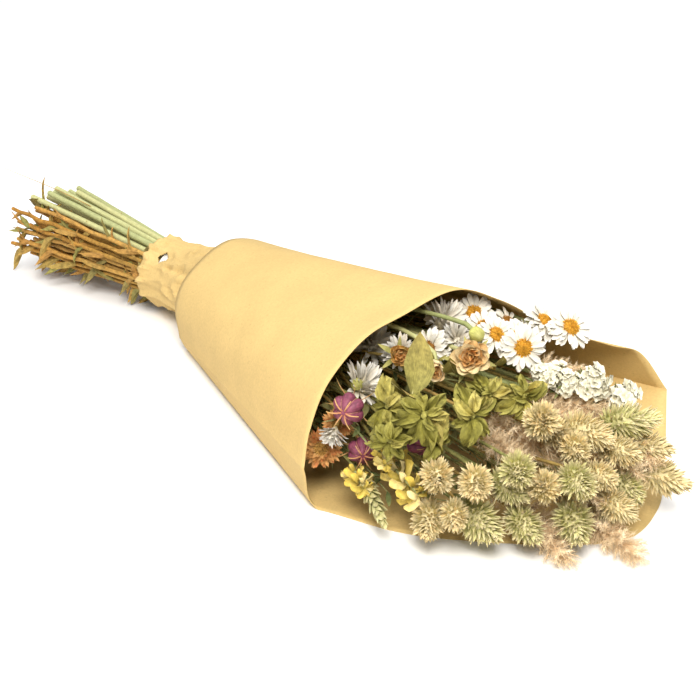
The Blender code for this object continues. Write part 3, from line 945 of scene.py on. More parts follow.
PETAL = ((0, 0.42), (0.3, 0.8), (0.7, 1), (0.9, 0.78), (1, 0.22))
LEAF = ((0, 0.1), (0.2, 0.72), (0.45, 1), (0.72, 0.7), (0.9, 0.28), (1, 0.03))
GLUME = ((0, 0.4), (0.35, 1), (0.7, 0.7), (1, 0.04))
BEAD = ((0, 0.5), (0.5, 1), (1, 0.3))


class BOUQUET_OT_daisies(FlowerOperator, Operator):
    """White everlasting daisies with domed discs"""

    bl_idname = "bouquet.daisies"
    bl_label = "Daisies"
    kind = "daisy"
    old = (2, 3, 22)

    def dress(self, build, plant, settings):
        white = tuple(settings.petal_white)
        petals = botanical("white_petal", (0.74, 0.68, 0.52), white, (0.84, 0.78, 0.68), 0.06, 7.0, 0.6)
        aged = plant.number in self.old
        disc = tuple(settings.disc_brown if aged else settings.disc_yellow)
        florets = botanical("old_disc" if aged else "yellow_disc", (0.35, 0.16, 0.02), disc)
        scales = botanical("silver_scale", (0.50, 0.42, 0.22), (0.80, 0.74, 0.60), None, 0.2)
        petal = piece_object(
            "daisy_petal",
            blade(settings.petal_length, 3.4, 5, 4, PETAL, 0.35, 0.3, 0.1, 0.12, 0.16),
        )
        bead = piece_object("disc_floret", blade(1.3, 0.9, 2, 2, BEAD, thick=0.6))
        scale = piece_object("calyx_scale", blade(4.0, 2.4, 3, 2, GLUME, -0.2, 0.2))
        lean = (98, 58) if not aged else (120, 70)
        round_core(build, plant.matrix(0.5), 4.6, (1.2, 3.4, 3.4), scales)
        round_core(build, plant.matrix(3.6), 3.6, (3.6, 5.6, 0.8), florets, 16)
        spiral(
            build, plant, petal, petals, 3.4, count=settings.petal_count, length=1.4,
            foot_radius=3.4, middle_radius=3.5, tip_radius=3.2, foot_lean=lean[0],
            tip_lean=lean[1], foot_size=1.05, tip_size=0.85, disorder=0.14,
        )
        spiral(
            build, plant, bead, florets, 4.4, count=170, length=2.7, foot_radius=4.2,
            middle_radius=3.9, tip_radius=0.1, foot_lean=60, tip_lean=0, foot_size=1.0,
            tip_size=0.8, disorder=0.12,
        )
        spiral(
            build, plant, scale, scales, 0.4, count=26, length=3.0, foot_radius=1.0,
            middle_radius=2.8, tip_radius=3.2, foot_lean=30, tip_lean=55, foot_size=0.8,
            tip_size=1.0, disorder=0.1,
        )


class BOUQUET_OT_papery_tufts(FlowerOperator, Operator):
    """White everlasting heads that are half closed and show their sides"""

    bl_idname = "bouquet.papery_tufts"
    bl_label = "Papery tufts"
    kind = "tuft"

    def dress(self, build, plant, settings):
        white = tuple(settings.petal_white)
        petals = botanical("tuft_petal", (0.62, 0.55, 0.40), white, (0.70, 0.62, 0.50), 0.1, 7.0, 0.6)
        scales = botanical("silver_scale", (0.50, 0.42, 0.22), (0.80, 0.74, 0.60), None, 0.2)
        petal = piece_object("tuft_petal", blade(12.0, 2.7, 5, 4, PETAL, 0.45, 0.35, 0.2, 0.12))
        scale = piece_object("calyx_scale", blade(4.0, 2.4, 3, 2, GLUME, -0.2, 0.2))
        round_core(build, plant.matrix(1.0), 8.0, (1.2, 4.6, 2.4), scales)
        spiral(
            build, plant, petal, petals, 3.0, count=64, length=6.5, foot_radius=2.4,
            middle_radius=4.0, tip_radius=1.4, foot_lean=52, tip_lean=8, foot_size=1.0,
            tip_size=0.85, disorder=0.2,
        )
        spiral(
            build, plant, scale, scales, 1.0, count=40, length=5.5, foot_radius=1.2,
            middle_radius=3.8, tip_radius=3.4, foot_lean=35, tip_lean=22, foot_size=0.9,
            tip_size=1.2, disorder=0.08,
        )


class BOUQUET_OT_seed_buds(FlowerOperator, Operator):
    """Closed buds on thin stems"""

    bl_idname = "bouquet.seed_buds"
    bl_label = "Seed buds"
    kind = "seed_bud"
    ending = "bud"

    def dress(self, build, plant, settings):
        pink = plant.number == 2
        skin = (0.58, 0.36, 0.24) if pink else tuple(settings.bud_green)
        body = botanical("pink_bud" if pink else "green_bud", skin, (0.36, 0.34, 0.10), None, 0.15, 5.0, 0.45)
        sepals = botanical("bud_sepal", (0.30, 0.28, 0.10), (0.44, 0.42, 0.16))
        points, uvs, sides, steps = [], [], 20, 12
        for i in range(steps + 1):
            t = i / steps
            reach = 4.6 * math.sin(math.pi * min(1.0, 0.08 + t * 0.86)) ** 0.8 * (1 - 0.25 * t)
            for k in range(sides):
                angle = 2 * math.pi * k / sides
                r = reach * (1 + 0.05 * math.cos(angle * 5))
                points.append(Vector((r * math.cos(angle), r * math.sin(angle), t * 9.5)))
                uvs.append((k / sides, t))
        build.add((points, ring_faces(steps + 1, sides), uvs), body, 0.4, plant.matrix())
        sepal = piece_object("bud_sepal", blade(6.0, 2.6, 4, 2, LEAF, -0.9, 0.3))
        spiral(
            build, plant, sepal, sepals, 0.2, count=6, length=0.6, foot_radius=0.9,
            middle_radius=0.9, tip_radius=0.9, foot_lean=72, tip_lean=60, foot_size=1.0,
            tip_size=0.9, disorder=0.12,
        )


class BOUQUET_OT_dry_roses(FlowerOperator, Operator):
    """Dried spray roses: one open, two in bud"""

    bl_idname = "bouquet.dry_roses"
    bl_label = "Dry roses"
    kind = "rose"

    def dress(self, build, plant, settings):
        heart_colour = tuple(settings.rose_edge)
        skins = {1: tuple(settings.rose_flesh), 2: (0.72, 0.44, 0.12), 3: (0.94, 0.78, 0.46)}
        skin = skins.get(plant.number, skins[1])
        name = f"rose_petal_{plant.number}"
        petals = botanical(name, skin, skin, (0.74, 0.42, 0.14), 0.3, 9.0, 0.55, 0.6)
        hearts = botanical("rose_heart", heart_colour, (0.84, 0.50, 0.18), None, 0.35, 9.0, 0.55, 0.6)
        sepals = botanical("rose_sepal", (0.28, 0.28, 0.08), (0.40, 0.36, 0.12))
        shape = ((0, 0.35), (0.25, 0.8), (0.6, 1), (0.85, 0.9), (1, 0.5))
        petal = piece_object("rose_petal", blade(10.5, 9.2, 8, 6, shape, 0.35, 0.6, 0.15, 0.22, 0.3))
        heart = piece_object("rose_heart", blade(9.5, 6.2, 7, 4, shape, 0.1, 0.8, 0.3, 0.25, 0.3))
        sepal = piece_object("rose_sepal", blade(11.0, 3.0, 4, 2, LEAF, 0.5, 0.3))
        lean = 30 if plant.number == 1 else 13
        round_core(build, plant.matrix(0.0), 7.0, (1.2, 4.8, 2.4), sepals)
        spiral(
            build, plant, petal, petals, 2.5, count=14, length=3.0, foot_radius=3.0,
            middle_radius=3.2, tip_radius=2.6, foot_lean=lean, tip_lean=lean * 0.5,
            foot_size=0.96, tip_size=0.86, disorder=0.16,
        )
        spiral(
            build, plant, heart, hearts, 4.6, count=20, length=2.6, foot_radius=2.8,
            middle_radius=1.5, tip_radius=0.2, foot_lean=16, tip_lean=2, foot_size=0.9,
            tip_size=0.66, disorder=0.2,
        )
        spiral(
            build, plant, sepal, sepals, 1.5, count=5, length=0.8, foot_radius=2.2,
            middle_radius=2.2, tip_radius=2.2, foot_lean=60, tip_lean=60, foot_size=1.0,
            tip_size=1.0, disorder=0.2,
        )


class BOUQUET_OT_nigella_pods(FlowerOperator, Operator):
    """Inflated purple seed pods with gold ribs and horns"""

    bl_idname = "bouquet.nigella_pods"
    bl_label = "Nigella pods"
    kind = "nigella_pod"
    ending = "pod"
    lobes = 6

    def dress(self, build, plant, settings):
        skin = botanical(
            "pod_skin", tuple(settings.pod_purple), (0.26, 0.07, 0.11), (0.30, 0.12, 0.08), 0.4, 8.0, 0.42, 0.5
        )
        gold = botanical("pod_horn", (0.45, 0.16, 0.09), tuple(settings.pod_gold), None, 0.3)
        seam = botanical("pod_seam", (0.42, 0.17, 0.13), (0.50, 0.24, 0.15), None, 0.3)
        matrix = plant.matrix(1.0)
        sides, steps = self.lobes * 8, 16

        def reach(t, angle):
            belly = 8.7 * math.sin(math.pi * (0.06 + 0.88 * t)) ** 0.75
            return belly * (0.72 + 0.28 * abs(math.cos(angle * self.lobes / 2)) ** 0.7)

        points, uvs = [], []
        for i in range(steps + 1):
            for k in range(sides):
                t, angle = i / steps, 2 * math.pi * k / sides
                r = reach(t, angle)
                points.append(Vector((r * math.cos(angle), r * math.sin(angle), t * 14.5)))
                uvs.append((k / sides, t))
        build.add((points, ring_faces(steps + 1, sides), uvs), skin, 0.4, matrix)
        for lobe in range(self.lobes):
            angle = 2 * math.pi * (lobe + 0.5) / self.lobes
            way = Vector((math.cos(angle), math.sin(angle), 0))
            path = [way * reach(i / 14, angle) + Vector((0, 0, i / 14 * 14.5)) for i in range(15)]
            build.add(tube(path, [0.24] * 15, 5), seam, 0.6, matrix)
            horn = [
                way * (1.2 + 7.5 * t**1.3) + Vector((0, 0, 14.0 + 2.6 * math.sin(t * 2.4)))
                for t in [i / 8 for i in range(9)]
            ]
            build.add(tube(horn, [0.5 - 0.04 * i for i in range(9)], 6), gold, 0.7, matrix)
        threads = piece_object("pod_thread", blade(17.0, 0.7, 6, 2, GLUME, 0.9, thick=0.3))
        spiral(
            build, plant, threads, gold, 0.0, count=7, length=0.8, foot_radius=0.8,
            middle_radius=0.8, tip_radius=0.8, foot_lean=75, tip_lean=50, foot_size=1.0,
            tip_size=0.7, disorder=0.25,
        )


class BOUQUET_OT_strawflower(FlowerOperator, Operator):
    """The orange strawflower at the mouth's edge"""

    bl_idname = "bouquet.strawflower"
    bl_label = "Strawflower"
    kind = "strawflower"

    def dress(self, build, plant, settings):
        orange = tuple(settings.straw_orange)
        bracts = botanical("straw_bract", (0.80, 0.50, 0.20), orange, (0.55, 0.16, 0.05), 0.2, 6.0, 0.4)
        middle = botanical("straw_middle", (0.30, 0.14, 0.03), (0.62, 0.38, 0.10))
        bract = piece_object("straw_bract", blade(8.5, 3.4, 4, 2, GLUME, -0.35, 0.45, thick=0.3))
        bead = piece_object("disc_floret", blade(1.3, 0.9, 2, 2, BEAD, thick=0.6))
        round_core(build, plant.matrix(1.0), 6.5, (1.5, 5.0, 4.0), middle)
        spiral(
            build, plant, bract, bracts, 1.5, count=96, length=6.0, foot_radius=2.0,
            middle_radius=5.4, tip_radius=3.0, foot_lean=108, tip_lean=24, foot_size=1.0,
            tip_size=0.6, disorder=0.12,
        )
        spiral(
            build, plant, bead, middle, 7.0, count=90, length=1.4, foot_radius=3.4,
            middle_radius=3.0, tip_radius=0.1, foot_lean=50, tip_lean=0, foot_size=1.2,
            tip_size=1.0, disorder=0.2,
        )


class BOUQUET_OT_green_bracts(FlowerOperator, Operator):
    """Heads of curled, twisted green bracts"""

    bl_idname = "bouquet.green_bracts"
    bl_label = "Green bracts"
    kind = "bract_head"
    ending = "bracts"

    def dress(self, build, plant, settings):
        green = tuple(settings.bract_green)
        skin = botanical("green_bract", green, (0.42, 0.38, 0.09), (0.52, 0.43, 0.13), 0.35, 5.0, 0.5, 0.6)
        long = settings.bract_length
        for number, (curl, twist) in enumerate(((1.8, 0.9), (1.1, -1.3), (2.5, 0.3))):
            leaf = piece_object(
                f"curled_bract_{number}",
                blade(long, long * 0.46, 10, 4, LEAF, curl, 0.2, twist, 0.24, 0.3, 0.8),
            )
            spiral(
                build, plant, leaf, skin, 1.5 + 2.5 * number, count=10, length=10.0,
                foot_radius=1.4, middle_radius=3.8, tip_radius=1.0, foot_lean=84, tip_lean=14,
                foot_size=1.0, tip_size=0.78, disorder=0.45,
            )
        round_core(build, plant.matrix(), 12.0, (0.8, 3.4, 1.4), skin)


class BOUQUET_OT_single_leaves(FlowerOperator, Operator):
    """Broad single leaves"""

    bl_idname = "bouquet.single_leaves"
    bl_label = "Single leaves"
    kind = "leaf"
    ending = "blade"

    def dress(self, build, plant, settings):
        green = tuple(settings.leaf_green)
        skin = botanical("broad_leaf", green, (0.38, 0.30, 0.08), None, 0.35, 4.0, 0.5, 0.6)
        shape = blade(33.0, 17.0, 16, 8, LEAF, 0.35, 0.1, 0.35, 0.1, 0.45, 0.25)
        build.add(shape, skin, 0.6, plant.matrix())
        rib = [Vector((-0.25 + 0.17 * t * t * 33 * 0.35, 0, 30 * t)) for t in [i / 10 for i in range(11)]]
        pale = botanical("leaf_rib", (0.55, 0.50, 0.22), (0.48, 0.42, 0.18), None, 0.15)
        build.add(tube(rib, [0.6 - 0.045 * i for i in range(11)], 6), pale, 0.9, plant.matrix())


class BOUQUET_OT_canary_grass(FlowerOperator, Operator):
    """Oval grass heads with keeled, pointed glumes"""

    bl_idname = "bouquet.canary_grass"
    bl_label = "Canary grass"
    kind = "canary_grass"
    ending = "grass"
    greener = (3, 5, 6, 7, 10, 12, 14, 16)

    def dress(self, build, plant, settings):
        foot, tip = tuple(settings.glume_foot), tuple(settings.glume_tip)
        if plant.number in self.greener:
            glumes = botanical("green_glume", (0.46, 0.47, 0.15), tip, (0.66, 0.64, 0.28), 0.22, 7.0, 0.7)
        else:
            glumes = botanical("ripe_glume", foot, tip, (0.90, 0.70, 0.38), 0.22, 7.0, 0.7)
        glume = piece_object(
            "grass_glume", blade(settings.glume_length, 2.1, 3, 2, GLUME, -0.1, 0.8, thick=0.45)
        )
        round_core(build, plant.matrix(2.0), 26.0, (1.2, 9.6, 0.4), glumes)
        spiral(
            build, plant, glume, glumes, 2.0, count=settings.glume_count, length=25.0,
            foot_radius=1.2, middle_radius=9.4, tip_radius=0.3, foot_lean=96, tip_lean=8,
            foot_size=0.8, tip_size=0.9, disorder=0.19,
        )


class BOUQUET_OT_wheat_ear(FlowerOperator, Operator):
    """A green-gold ear of plump grains"""

    bl_idname = "bouquet.wheat_ear"
    bl_label = "Wheat ear"
    kind = "wheat_ear"
    ending = "ear"

    def dress(self, build, plant, settings):
        husks = botanical("wheat_husk", tuple(settings.grain_green), (0.70, 0.62, 0.32), None, 0.2, 6.0)
        husk = piece_object("wheat_husk", blade(12.0, 6.4, 4, 2, GLUME, -0.2, 0.5, thick=2.4))
        round_core(build, plant.matrix(2.0), 52.0, (1.2, 2.4, 0.8), husks)
        spiral(
            build, plant, husk, husks, 2.0, count=46, length=50.0, foot_radius=1.2,
            middle_radius=4.2, tip_radius=0.8, foot_lean=36, tip_lean=16, foot_size=0.95,
            tip_size=0.7, disorder=0.1,
        )


class BOUQUET_OT_yellow_sprigs(FlowerOperator, Operator):
    """Sprigs of curled yellow blossom"""

    bl_idname = "bouquet.yellow_sprigs"
    bl_label = "Yellow sprigs"
    kind = "yellow_sprig"
    ending = "sprig"

    def dress(self, build, plant, settings):
        yellow = tuple(settings.sprig_yellow)
        petals = botanical("yellow_petal", (0.56, 0.44, 0.10), yellow, (0.84, 0.74, 0.44), 0.2, 4.0, 0.55)
        petal = piece_object("yellow_petal", blade(9.5, 4.8, 6, 4, PETAL, 1.9, 0.8, 0.7, 0.25, 0.25))
        round_core(build, plant.matrix(), 28.0, (0.7, 0.7, 0.4), stem_material(settings, True), 6)
        spiral(
            build, plant, petal, petals, 3.0, count=30, length=27.0, foot_radius=0.6,
            middle_radius=2.0, tip_radius=0.6, foot_lean=62, tip_lean=20, foot_size=1.0,
            tip_size=0.75, disorder=0.4,
        )


def frond():
    """A curved thread with fine spikes along it."""
    shapes = []
    spine = [Vector((1.2 * (i / 6) ** 2 * 3, 0, i / 6 * 17)) for i in range(7)]
    shapes.append(tube(spine, [0.16 - 0.02 * i for i in range(7)], 3))
    for k in range(34):
        t = 0.12 + 0.86 * k / 34
        base = Vector((3.6 * t * t, 0, 17 * t))
        angle = k * GOLDEN_ANGLE
        way = Vector((math.cos(angle) * 0.75 + 0.25, math.sin(angle) * 0.75, 0.75)).normalized()
        side = way.cross(Vector((0.3, 0.1, 1))).normalized() * 0.22
        other = way.cross(side).normalized() * 0.22
        reach = way * (4.2 + 2.2 * math.sin(k * 1.7))
        points = [base - side, base + side, base + other, base + reach]
        faces = [(0, 2, 1), (0, 1, 3), (1, 2, 3), (2, 0, 3)]
        shapes.append((points, faces, [(0, t), (1, t), (0.5, t), (0.5, 1)]))
    return joined(*shapes)


class BOUQUET_OT_plumes(FlowerOperator, Operator):
    """Feathery grass plumes"""

    bl_idname = "bouquet.plumes"
    bl_label = "Plumes"
    kind = "plume"
    ending = "plume"

    def dress(self, build, plant, settings):
        round_core(build, plant.matrix(), 58.0, (0.8, 0.8, 0.3), plume_material(settings), 6)
        feathers(build, plant, plant.matrix(4.0), settings, settings.frond_count)


def plume_material(settings):
    tan = tuple(settings.plume_tan)
    return botanical("plume_hair", (0.80, 0.54, 0.29), tan, (0.95, 0.82, 0.60), 0.2)


def feathers(build, plant, matrix, settings, count):
    spiral(
        build, plant, piece_object("plume_frond", frond()), plume_material(settings),
        matrix=matrix, count=count, length=50.0, foot_radius=0.5, middle_radius=1.2,
        tip_radius=0.3, foot_lean=52, tip_lean=14, foot_size=0.85, tip_size=0.65, disorder=0.3,
    )


# Feathery sprays that fill the gaps between the grass heads: foot (x, y, z), where each faces
# (turn from +X towards +Y, tilt above level) and size.
LOOSE_SPRAYS = (
    ((262, 2, 44), (-6, 8), 0.75),
    ((270, 22, 46), (4, 6), 0.7),
    ((282, 30, 34), (6, 4), 0.7),
    ((262, -30, 38), (-14, 4), 0.7),
    ((276, -38, 20), (-22, 0), 0.7),
    ((296, -14, 22), (-12, 2), 0.7),
    ((300, 4, 30), (-2, 2), 0.7),
    ((248, 26, 56), (0, 10), 0.6),
)


class BOUQUET_OT_loose_sprays(Operator):
    """Feathery sprays between the grass heads"""

    bl_idname = "bouquet.loose_sprays"
    bl_label = "Loose sprays"
    bl_options = {"REGISTER", "UNDO"}

    def execute(self, context):
        settings = context.scene.bouquet
        build = Build("loose_sprays")
        plume = plants_of("plume")[0]
        for number, (foot, faces, size) in enumerate(LOOSE_SPRAYS):
            place = head_matrix(Vector(foot) * MM + SHIFT, facing(*faces), size, 4.0, number * 1.3)
            plume.seed += 7
            feathers(build, plume, place, settings, settings.frond_count // 2)
        build.finish("plume")
        return {"FINISHED"}


class BOUQUET_OT_statice(FlowerOperator, Operator):
    """Branching clusters of white papery florets"""

    bl_idname = "bouquet.statice"
    bl_label = "Statice"
    kind = "statice"

    def dress(self, build, plant, settings):
        white = tuple(settings.statice_white)
        papery = botanical("statice_floret", (0.66, 0.62, 0.42), white, None, 0.1, 4.0, 0.6)
        wings = botanical("statice_wing", (0.16, 0.19, 0.06), (0.24, 0.26, 0.09), None, 0.3)
        petal = blade(3.3, 3.0, 3, 2, PETAL, 1.0, 0.3, 0.2, 0.3, 0.12)
        leaned = [Matrix.Rotation(2 * math.pi * k / 5, 4, "Z") @ Matrix.Rotation(0.35, 4, "Y") for k in range(5)]
        floret = piece_object("statice_floret", joined(*[turned(petal, lean) for lean in leaned]))
        round_core(build, plant.matrix(), 14.0, (0.9, 2.6, 1.0), wings)
        for branch in range(5):
            spread = Matrix.Rotation(branch * 2.4, 4, "Z") @ Matrix.Rotation(0.5 if branch else 0, 4, "Y")
            place = plant.matrix(2.0 + branch % 3 * 2.0, plant.seed * 0.7) @ spread
            spiral(
                build, plant, floret, papery, matrix=place, count=26, length=13.0,
                foot_radius=1.0, middle_radius=5.2, tip_radius=0.6, foot_lean=80, tip_lean=6,
                foot_size=0.8, tip_size=0.95, disorder=0.4,
            )
        wing = piece_object("statice_wing", blade(9.0, 2.0, 4, 2, LEAF, 0.4, 0.3))
        spiral(
            build, plant, wing, wings, -3.0, count=26, length=14.0, foot_radius=0.6,
            middle_radius=1.4, tip_radius=2.0, foot_lean=60, tip_lean=40, foot_size=1.0,
            tip_size=0.8, disorder=0.3,
        )


# Leaves on the stems


def path_object(points):
    curve = bpy.data.curves.new("way", "CURVE")
    curve.dimensions = "3D"
    spline = curve.splines.new("POLY")
    spline.points.add(len(points) - 1)
    for target, point in zip(spline.points, points, strict=True):
        target.co = (*point, 1)
    obj = bpy.data.objects.new("way", curve)
    bpy.context.scene.collection.objects.link(obj)
    return obj


def leaves_along(build, points, piece, material, **values):
    """Grows leaves along a way given in millimetres."""
    way = path_object(points)
    mesh = grown("along", path=way, piece=piece, material=material, **values)
    build.add_mesh(mesh, material, Matrix.Scale(MM, 4))
    curve = way.data
    bpy.data.objects.remove(way)
    bpy.data.curves.remove(curve)


class BOUQUET_OT_tail_leaves(Operator):
    """Shrivelled leaves on the brown stems behind the tie"""

    bl_idname = "bouquet.tail_leaves"
    bl_label = "Tail leaves"
    bl_options = {"REGISTER", "UNDO"}

    def execute(self, context):
        settings = context.scene.bouquet
        brown = botanical("tail_leaf_brown", (0.40, 0.20, 0.05), (0.52, 0.28, 0.07), (0.34, 0.26, 0.07), 0.4, 4.0)
        olive = botanical("tail_leaf_olive", (0.26, 0.25, 0.07), (0.40, 0.36, 0.10), (0.20, 0.14, 0.05), 0.4, 4.0)
        narrow = piece_object("tail_leaf_narrow", blade(24.0, 5.0, 8, 2, LEAF, 0.9, 0.8, 1.6, 0.3, 0.3))
        broad = piece_object("tail_leaf_broad", blade(20.0, 8.0, 8, 4, LEAF, 1.3, 0.6, -1.2, 0.3, 0.3))
        build = Build("tail_leaves")
        brown_plants = [p for p in sorted(all_plants(), key=lambda p: p.name) if not is_green(p)]
        for number, plant in enumerate(brown_plants):
            tip, tie = plant.stem[0] / MM, plant.stem[1] / MM
            way = [tie.lerp(tip, 0.9 * t / 6) for t in range(7)]
            leaves_along(
                build, way, narrow, brown if number % 3 else olive, count=5, start=0.15,
                lean=0.3, size=0.85, disorder=0.3, seed=plant.seed % 997,
            )
            if number % 2 == 0:
                leaves_along(
                    build, way, broad, olive if number % 4 else brown, count=3, start=0.1,
                    lean=0.4, size=0.75, disorder=0.3, seed=plant.seed % 991,
                )
        hair = smooth_curve(((-120, 25, 48), (-165, 10, 62), (-207, -10, 75)), 14)
        hair = [p * MM + SHIFT for p in hair]
        build.add(tube(hair, [(0.4 - 0.02 * i) * MM for i in range(15)], 4), brown, 0.7)
        build.finish("leaf")
        return {"FINISHED"}


def all_plants():
    return plants_of(*HEAD_RINGS)


class BOUQUET_OT_fine_stems(Operator):
    """Fine grasses and leafy twigs that fill the mouth between the heads"""

    bl_idname = "bouquet.fine_stems"
    bl_label = "Fine stems"
    bl_options = {"REGISTER", "UNDO"}

    def execute(self, context):
        settings = context.scene.bouquet
        draw = np.random.default_rng(17)
        grass = botanical("fine_grass", (0.16, 0.19, 0.07), (0.34, 0.36, 0.13), (0.46, 0.40, 0.18), 0.3)
        foliage = botanical("small_leaf", (0.10, 0.13, 0.04), (0.22, 0.24, 0.08), (0.30, 0.26, 0.10), 0.3, 4.0)
        leaf = piece_object("small_leaf", blade(9.0, 3.6, 5, 2, LEAF, 0.6, 0.4, 0.4, 0.2, 0.2))
        needle = piece_object("grass_needle", blade(22.0, 1.3, 6, 2, GLUME, 0.5, 0.5, 0.5, thick=0.2))
        build = Build("fine_stems")
        for number in range(settings.filler_count):
            y = -84 + 128 * draw.random()
            lift = draw.random()
            roof = 84 * math.sqrt(max(0.05, 1 - ((y + 12) / 108) ** 2))
            z = 6 + (roof - 22) * lift
            reach = 195 + 55 * draw.random() + 45 * (1 - lift)
            start = Vector((45, 8 + y * 0.22, 24 + z * 0.2))
            middle = start.lerp(Vector((reach, y, z)), 0.55) + Vector((0, 0, 3))
            end = Vector((reach, y, z))
            way = [p + SHIFT / MM for p in smooth_curve((start, middle, end), 12)]
            radii = [0.75 - 0.04 * i for i in range(13)]
            shape = tube(way, radii, 5)
            build.add(shape, grass, draw.random(), Matrix.Scale(MM, 4))
            if number % 2:
                leaves_along(
                    build, way, leaf, foliage, count=9, start=0.62, lean=0.8, size=1.0,
                    disorder=0.35, seed=number + 5,
                )
            else:
                leaves_along(
                    build, way, needle, grass, count=5, start=0.55, lean=0.3, size=1.0,
                    disorder=0.25, seed=number + 9,
                )
        build.finish("leaf")
        return {"FINISHED"}


# Paper and tie


def finished_sheet(obj, thickness, node):
    """Gives a sheet its thickness, and makes the object a plain mesh in the frame."""
    solidify = obj.modifiers.new("Thickness", "SOLIDIFY")
    solidify.thickness = thickness * MM
    solidify.offset = -1
    graph = bpy.context.evaluated_depsgraph_get()
    mesh = bpy.data.meshes.new_from_object(obj.evaluated_get(graph), depsgraph=graph)
    obj.modifiers.clear()
    obj.data = mesh
    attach(obj, "root")
    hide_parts(node)


def sheet_object(name, rows, material, left_out=(), creases=()):
    """A smooth tube of paper from rings of points, as an object that has no thickness yet.

    creases names the points of a ring at which the paper is folded sharply.
    """
    sides = len(rows[0])
    points = [tuple(p * MM + SHIFT) for row in rows for p in row]
    faces = []
    for i in range(len(rows) - 1):
        for k in range(sides):
            after = (k + 1) % sides
            if (i, k) not in left_out:
                faces.append(
                    (i * sides + k, (i + 1) * sides + k, (i + 1) * sides + after, i * sides + after)
                )
    mesh = bpy.data.meshes.new(name)
    mesh.from_pydata(points, [], faces)
    mesh.shade_smooth()
    mesh.set_sharp_from_angle(angle=math.radians(28))
    for edge in mesh.edges:
        if creases and all(corner % sides in creases for corner in edge.vertices):
            edge.use_edge_sharp = True
    mesh.materials.append(material)
    obj = bpy.data.objects.new(name, mesh)
    bpy.context.scene.collection.objects.link(obj)
    return obj


def rim(top, floor):
    arch = smooth_curve(top, STEPS_OVER_TOP)
    under = smooth_curve((top[-1], *floor, top[0]), STEPS_UNDER)
    for point in under:
        point.z = max(point.z, 0.0)
    return arch + under[1:-1]


class BOUQUET_OT_paper_sleeve(Operator):
    """The cone of kraft paper, creased along both sides"""

    bl_idname = "bouquet.paper_sleeve"
    bl_label = "Paper sleeve"
    bl_options = {"REGISTER", "UNDO"}

    def execute(self, context):
        settings = context.scene.bouquet
        narrow, wide = rim(NARROW_TOP, NARROW_FLOOR), rim(WIDE_TOP, WIDE_FLOOR)
        rows = []
        for i in range(STEPS_ALONG + 1):
            share = i / STEPS_ALONG
            row = [a.lerp(b, share) for a, b in zip(narrow, wide, strict=True)]
            rows.append([self.rippled(p, k, share, settings) for k, p in enumerate(row)])
        folds = (0, STEPS_OVER_TOP)
        obj = sheet_object("kraft_paper_sleeve", rows, kraft(settings), creases=folds)
        finished_sheet(obj, settings.paper_thickness, "kraft_sleeve")
        return {"FINISHED"}

    def rippled(self, point, k, share, settings):
        """Lets the paper wander a little between its creases, and not at all on the floor."""
        over_top = math.sin(math.pi * min(k, STEPS_OVER_TOP) / STEPS_OVER_TOP)
        if point.z < 1.0 or over_top <= 0:
            return point
        slow = noise.noise(Vector((point.x * 0.011, point.y * 0.016, point.z * 0.016)))
        fine = noise.noise(Vector((point.x * 0.03 + 7, k * 0.055, 3.0)))
        fall = (slow + 0.35 * fine) * settings.paper_ripple * over_top
        dip = DIP_DEPTH * math.exp(-(((k - DIP_PLACE) / DIP_WIDTH) ** 2)) * share**3
        return point + Vector((0, 0, fall - dip - 0.4 * over_top))


class BOUQUET_OT_neck_cuff(Operator):
    """The gathered and crumpled paper at the neck"""

    bl_idname = "bouquet.neck_cuff"
    bl_label = "Neck cuff"
    bl_options = {"REGISTER", "UNDO"}
    sides = 132
    steps = 56

    def execute(self, context):
        settings = context.scene.bouquet
        rings = np.array(CUFF_RINGS, dtype=float)
        low, high = rings[0, 0], rings[-1, 0]
        rows = []
        for i in range(self.steps + 1):
            x = low + (high - low) * i / self.steps
            y, z, radius = (float(np.interp(x, rings[:, 0], rings[:, c])) for c in (1, 2, 3))
            rows.append([self.point(x, y, z, radius, k, settings) for k in range(self.sides)])
        obj = sheet_object("crumpled_cuff", rows, kraft(settings), self.slit())
        finished_sheet(obj, settings.paper_thickness, "paper_cuff")
        return {"FINISHED"}

    def point(self, x, y, z, radius, k, settings):
        angle = 2 * math.pi * k / self.sides
        pinch = math.exp(-(((x + 50) / 9) ** 2))
        round_way = Vector((math.cos(angle), math.sin(angle), 0))
        gathers = abs(noise.noise(round_way * 5.5 + Vector((0, 0, x * 0.012)))) * 2
        dents = abs(noise.noise(round_way * 2.2 + Vector((0, 0, x * 0.05 + 4)))) * 2
        folds = settings.cuff_crumple * (0.5 * gathers + 0.9 * dents) * (1 - 0.6 * pinch)
        r = max(radius + 0.8 - folds, BUNDLE_RADIUS + 0.09 * abs(x + 50))
        ragged = 0.0
        if x < -58:
            ragged = 3.5 * noise.noise(round_way * 2.0 + Vector((0, 0, 9))) * (-58 - x) / 7
        return Vector((x + ragged, y + r * math.cos(angle), z + r * math.sin(angle)))

    def slit(self):
        """The faces left out at the pinch, where the tie shows."""
        middle = int(self.sides * 0.36)
        return {
            (i, middle + k)
            for i in range(9, 16)
            for k in range(-4, 5)
            if abs(i - 12) * 0.9 + abs(k) < 4.6
        }


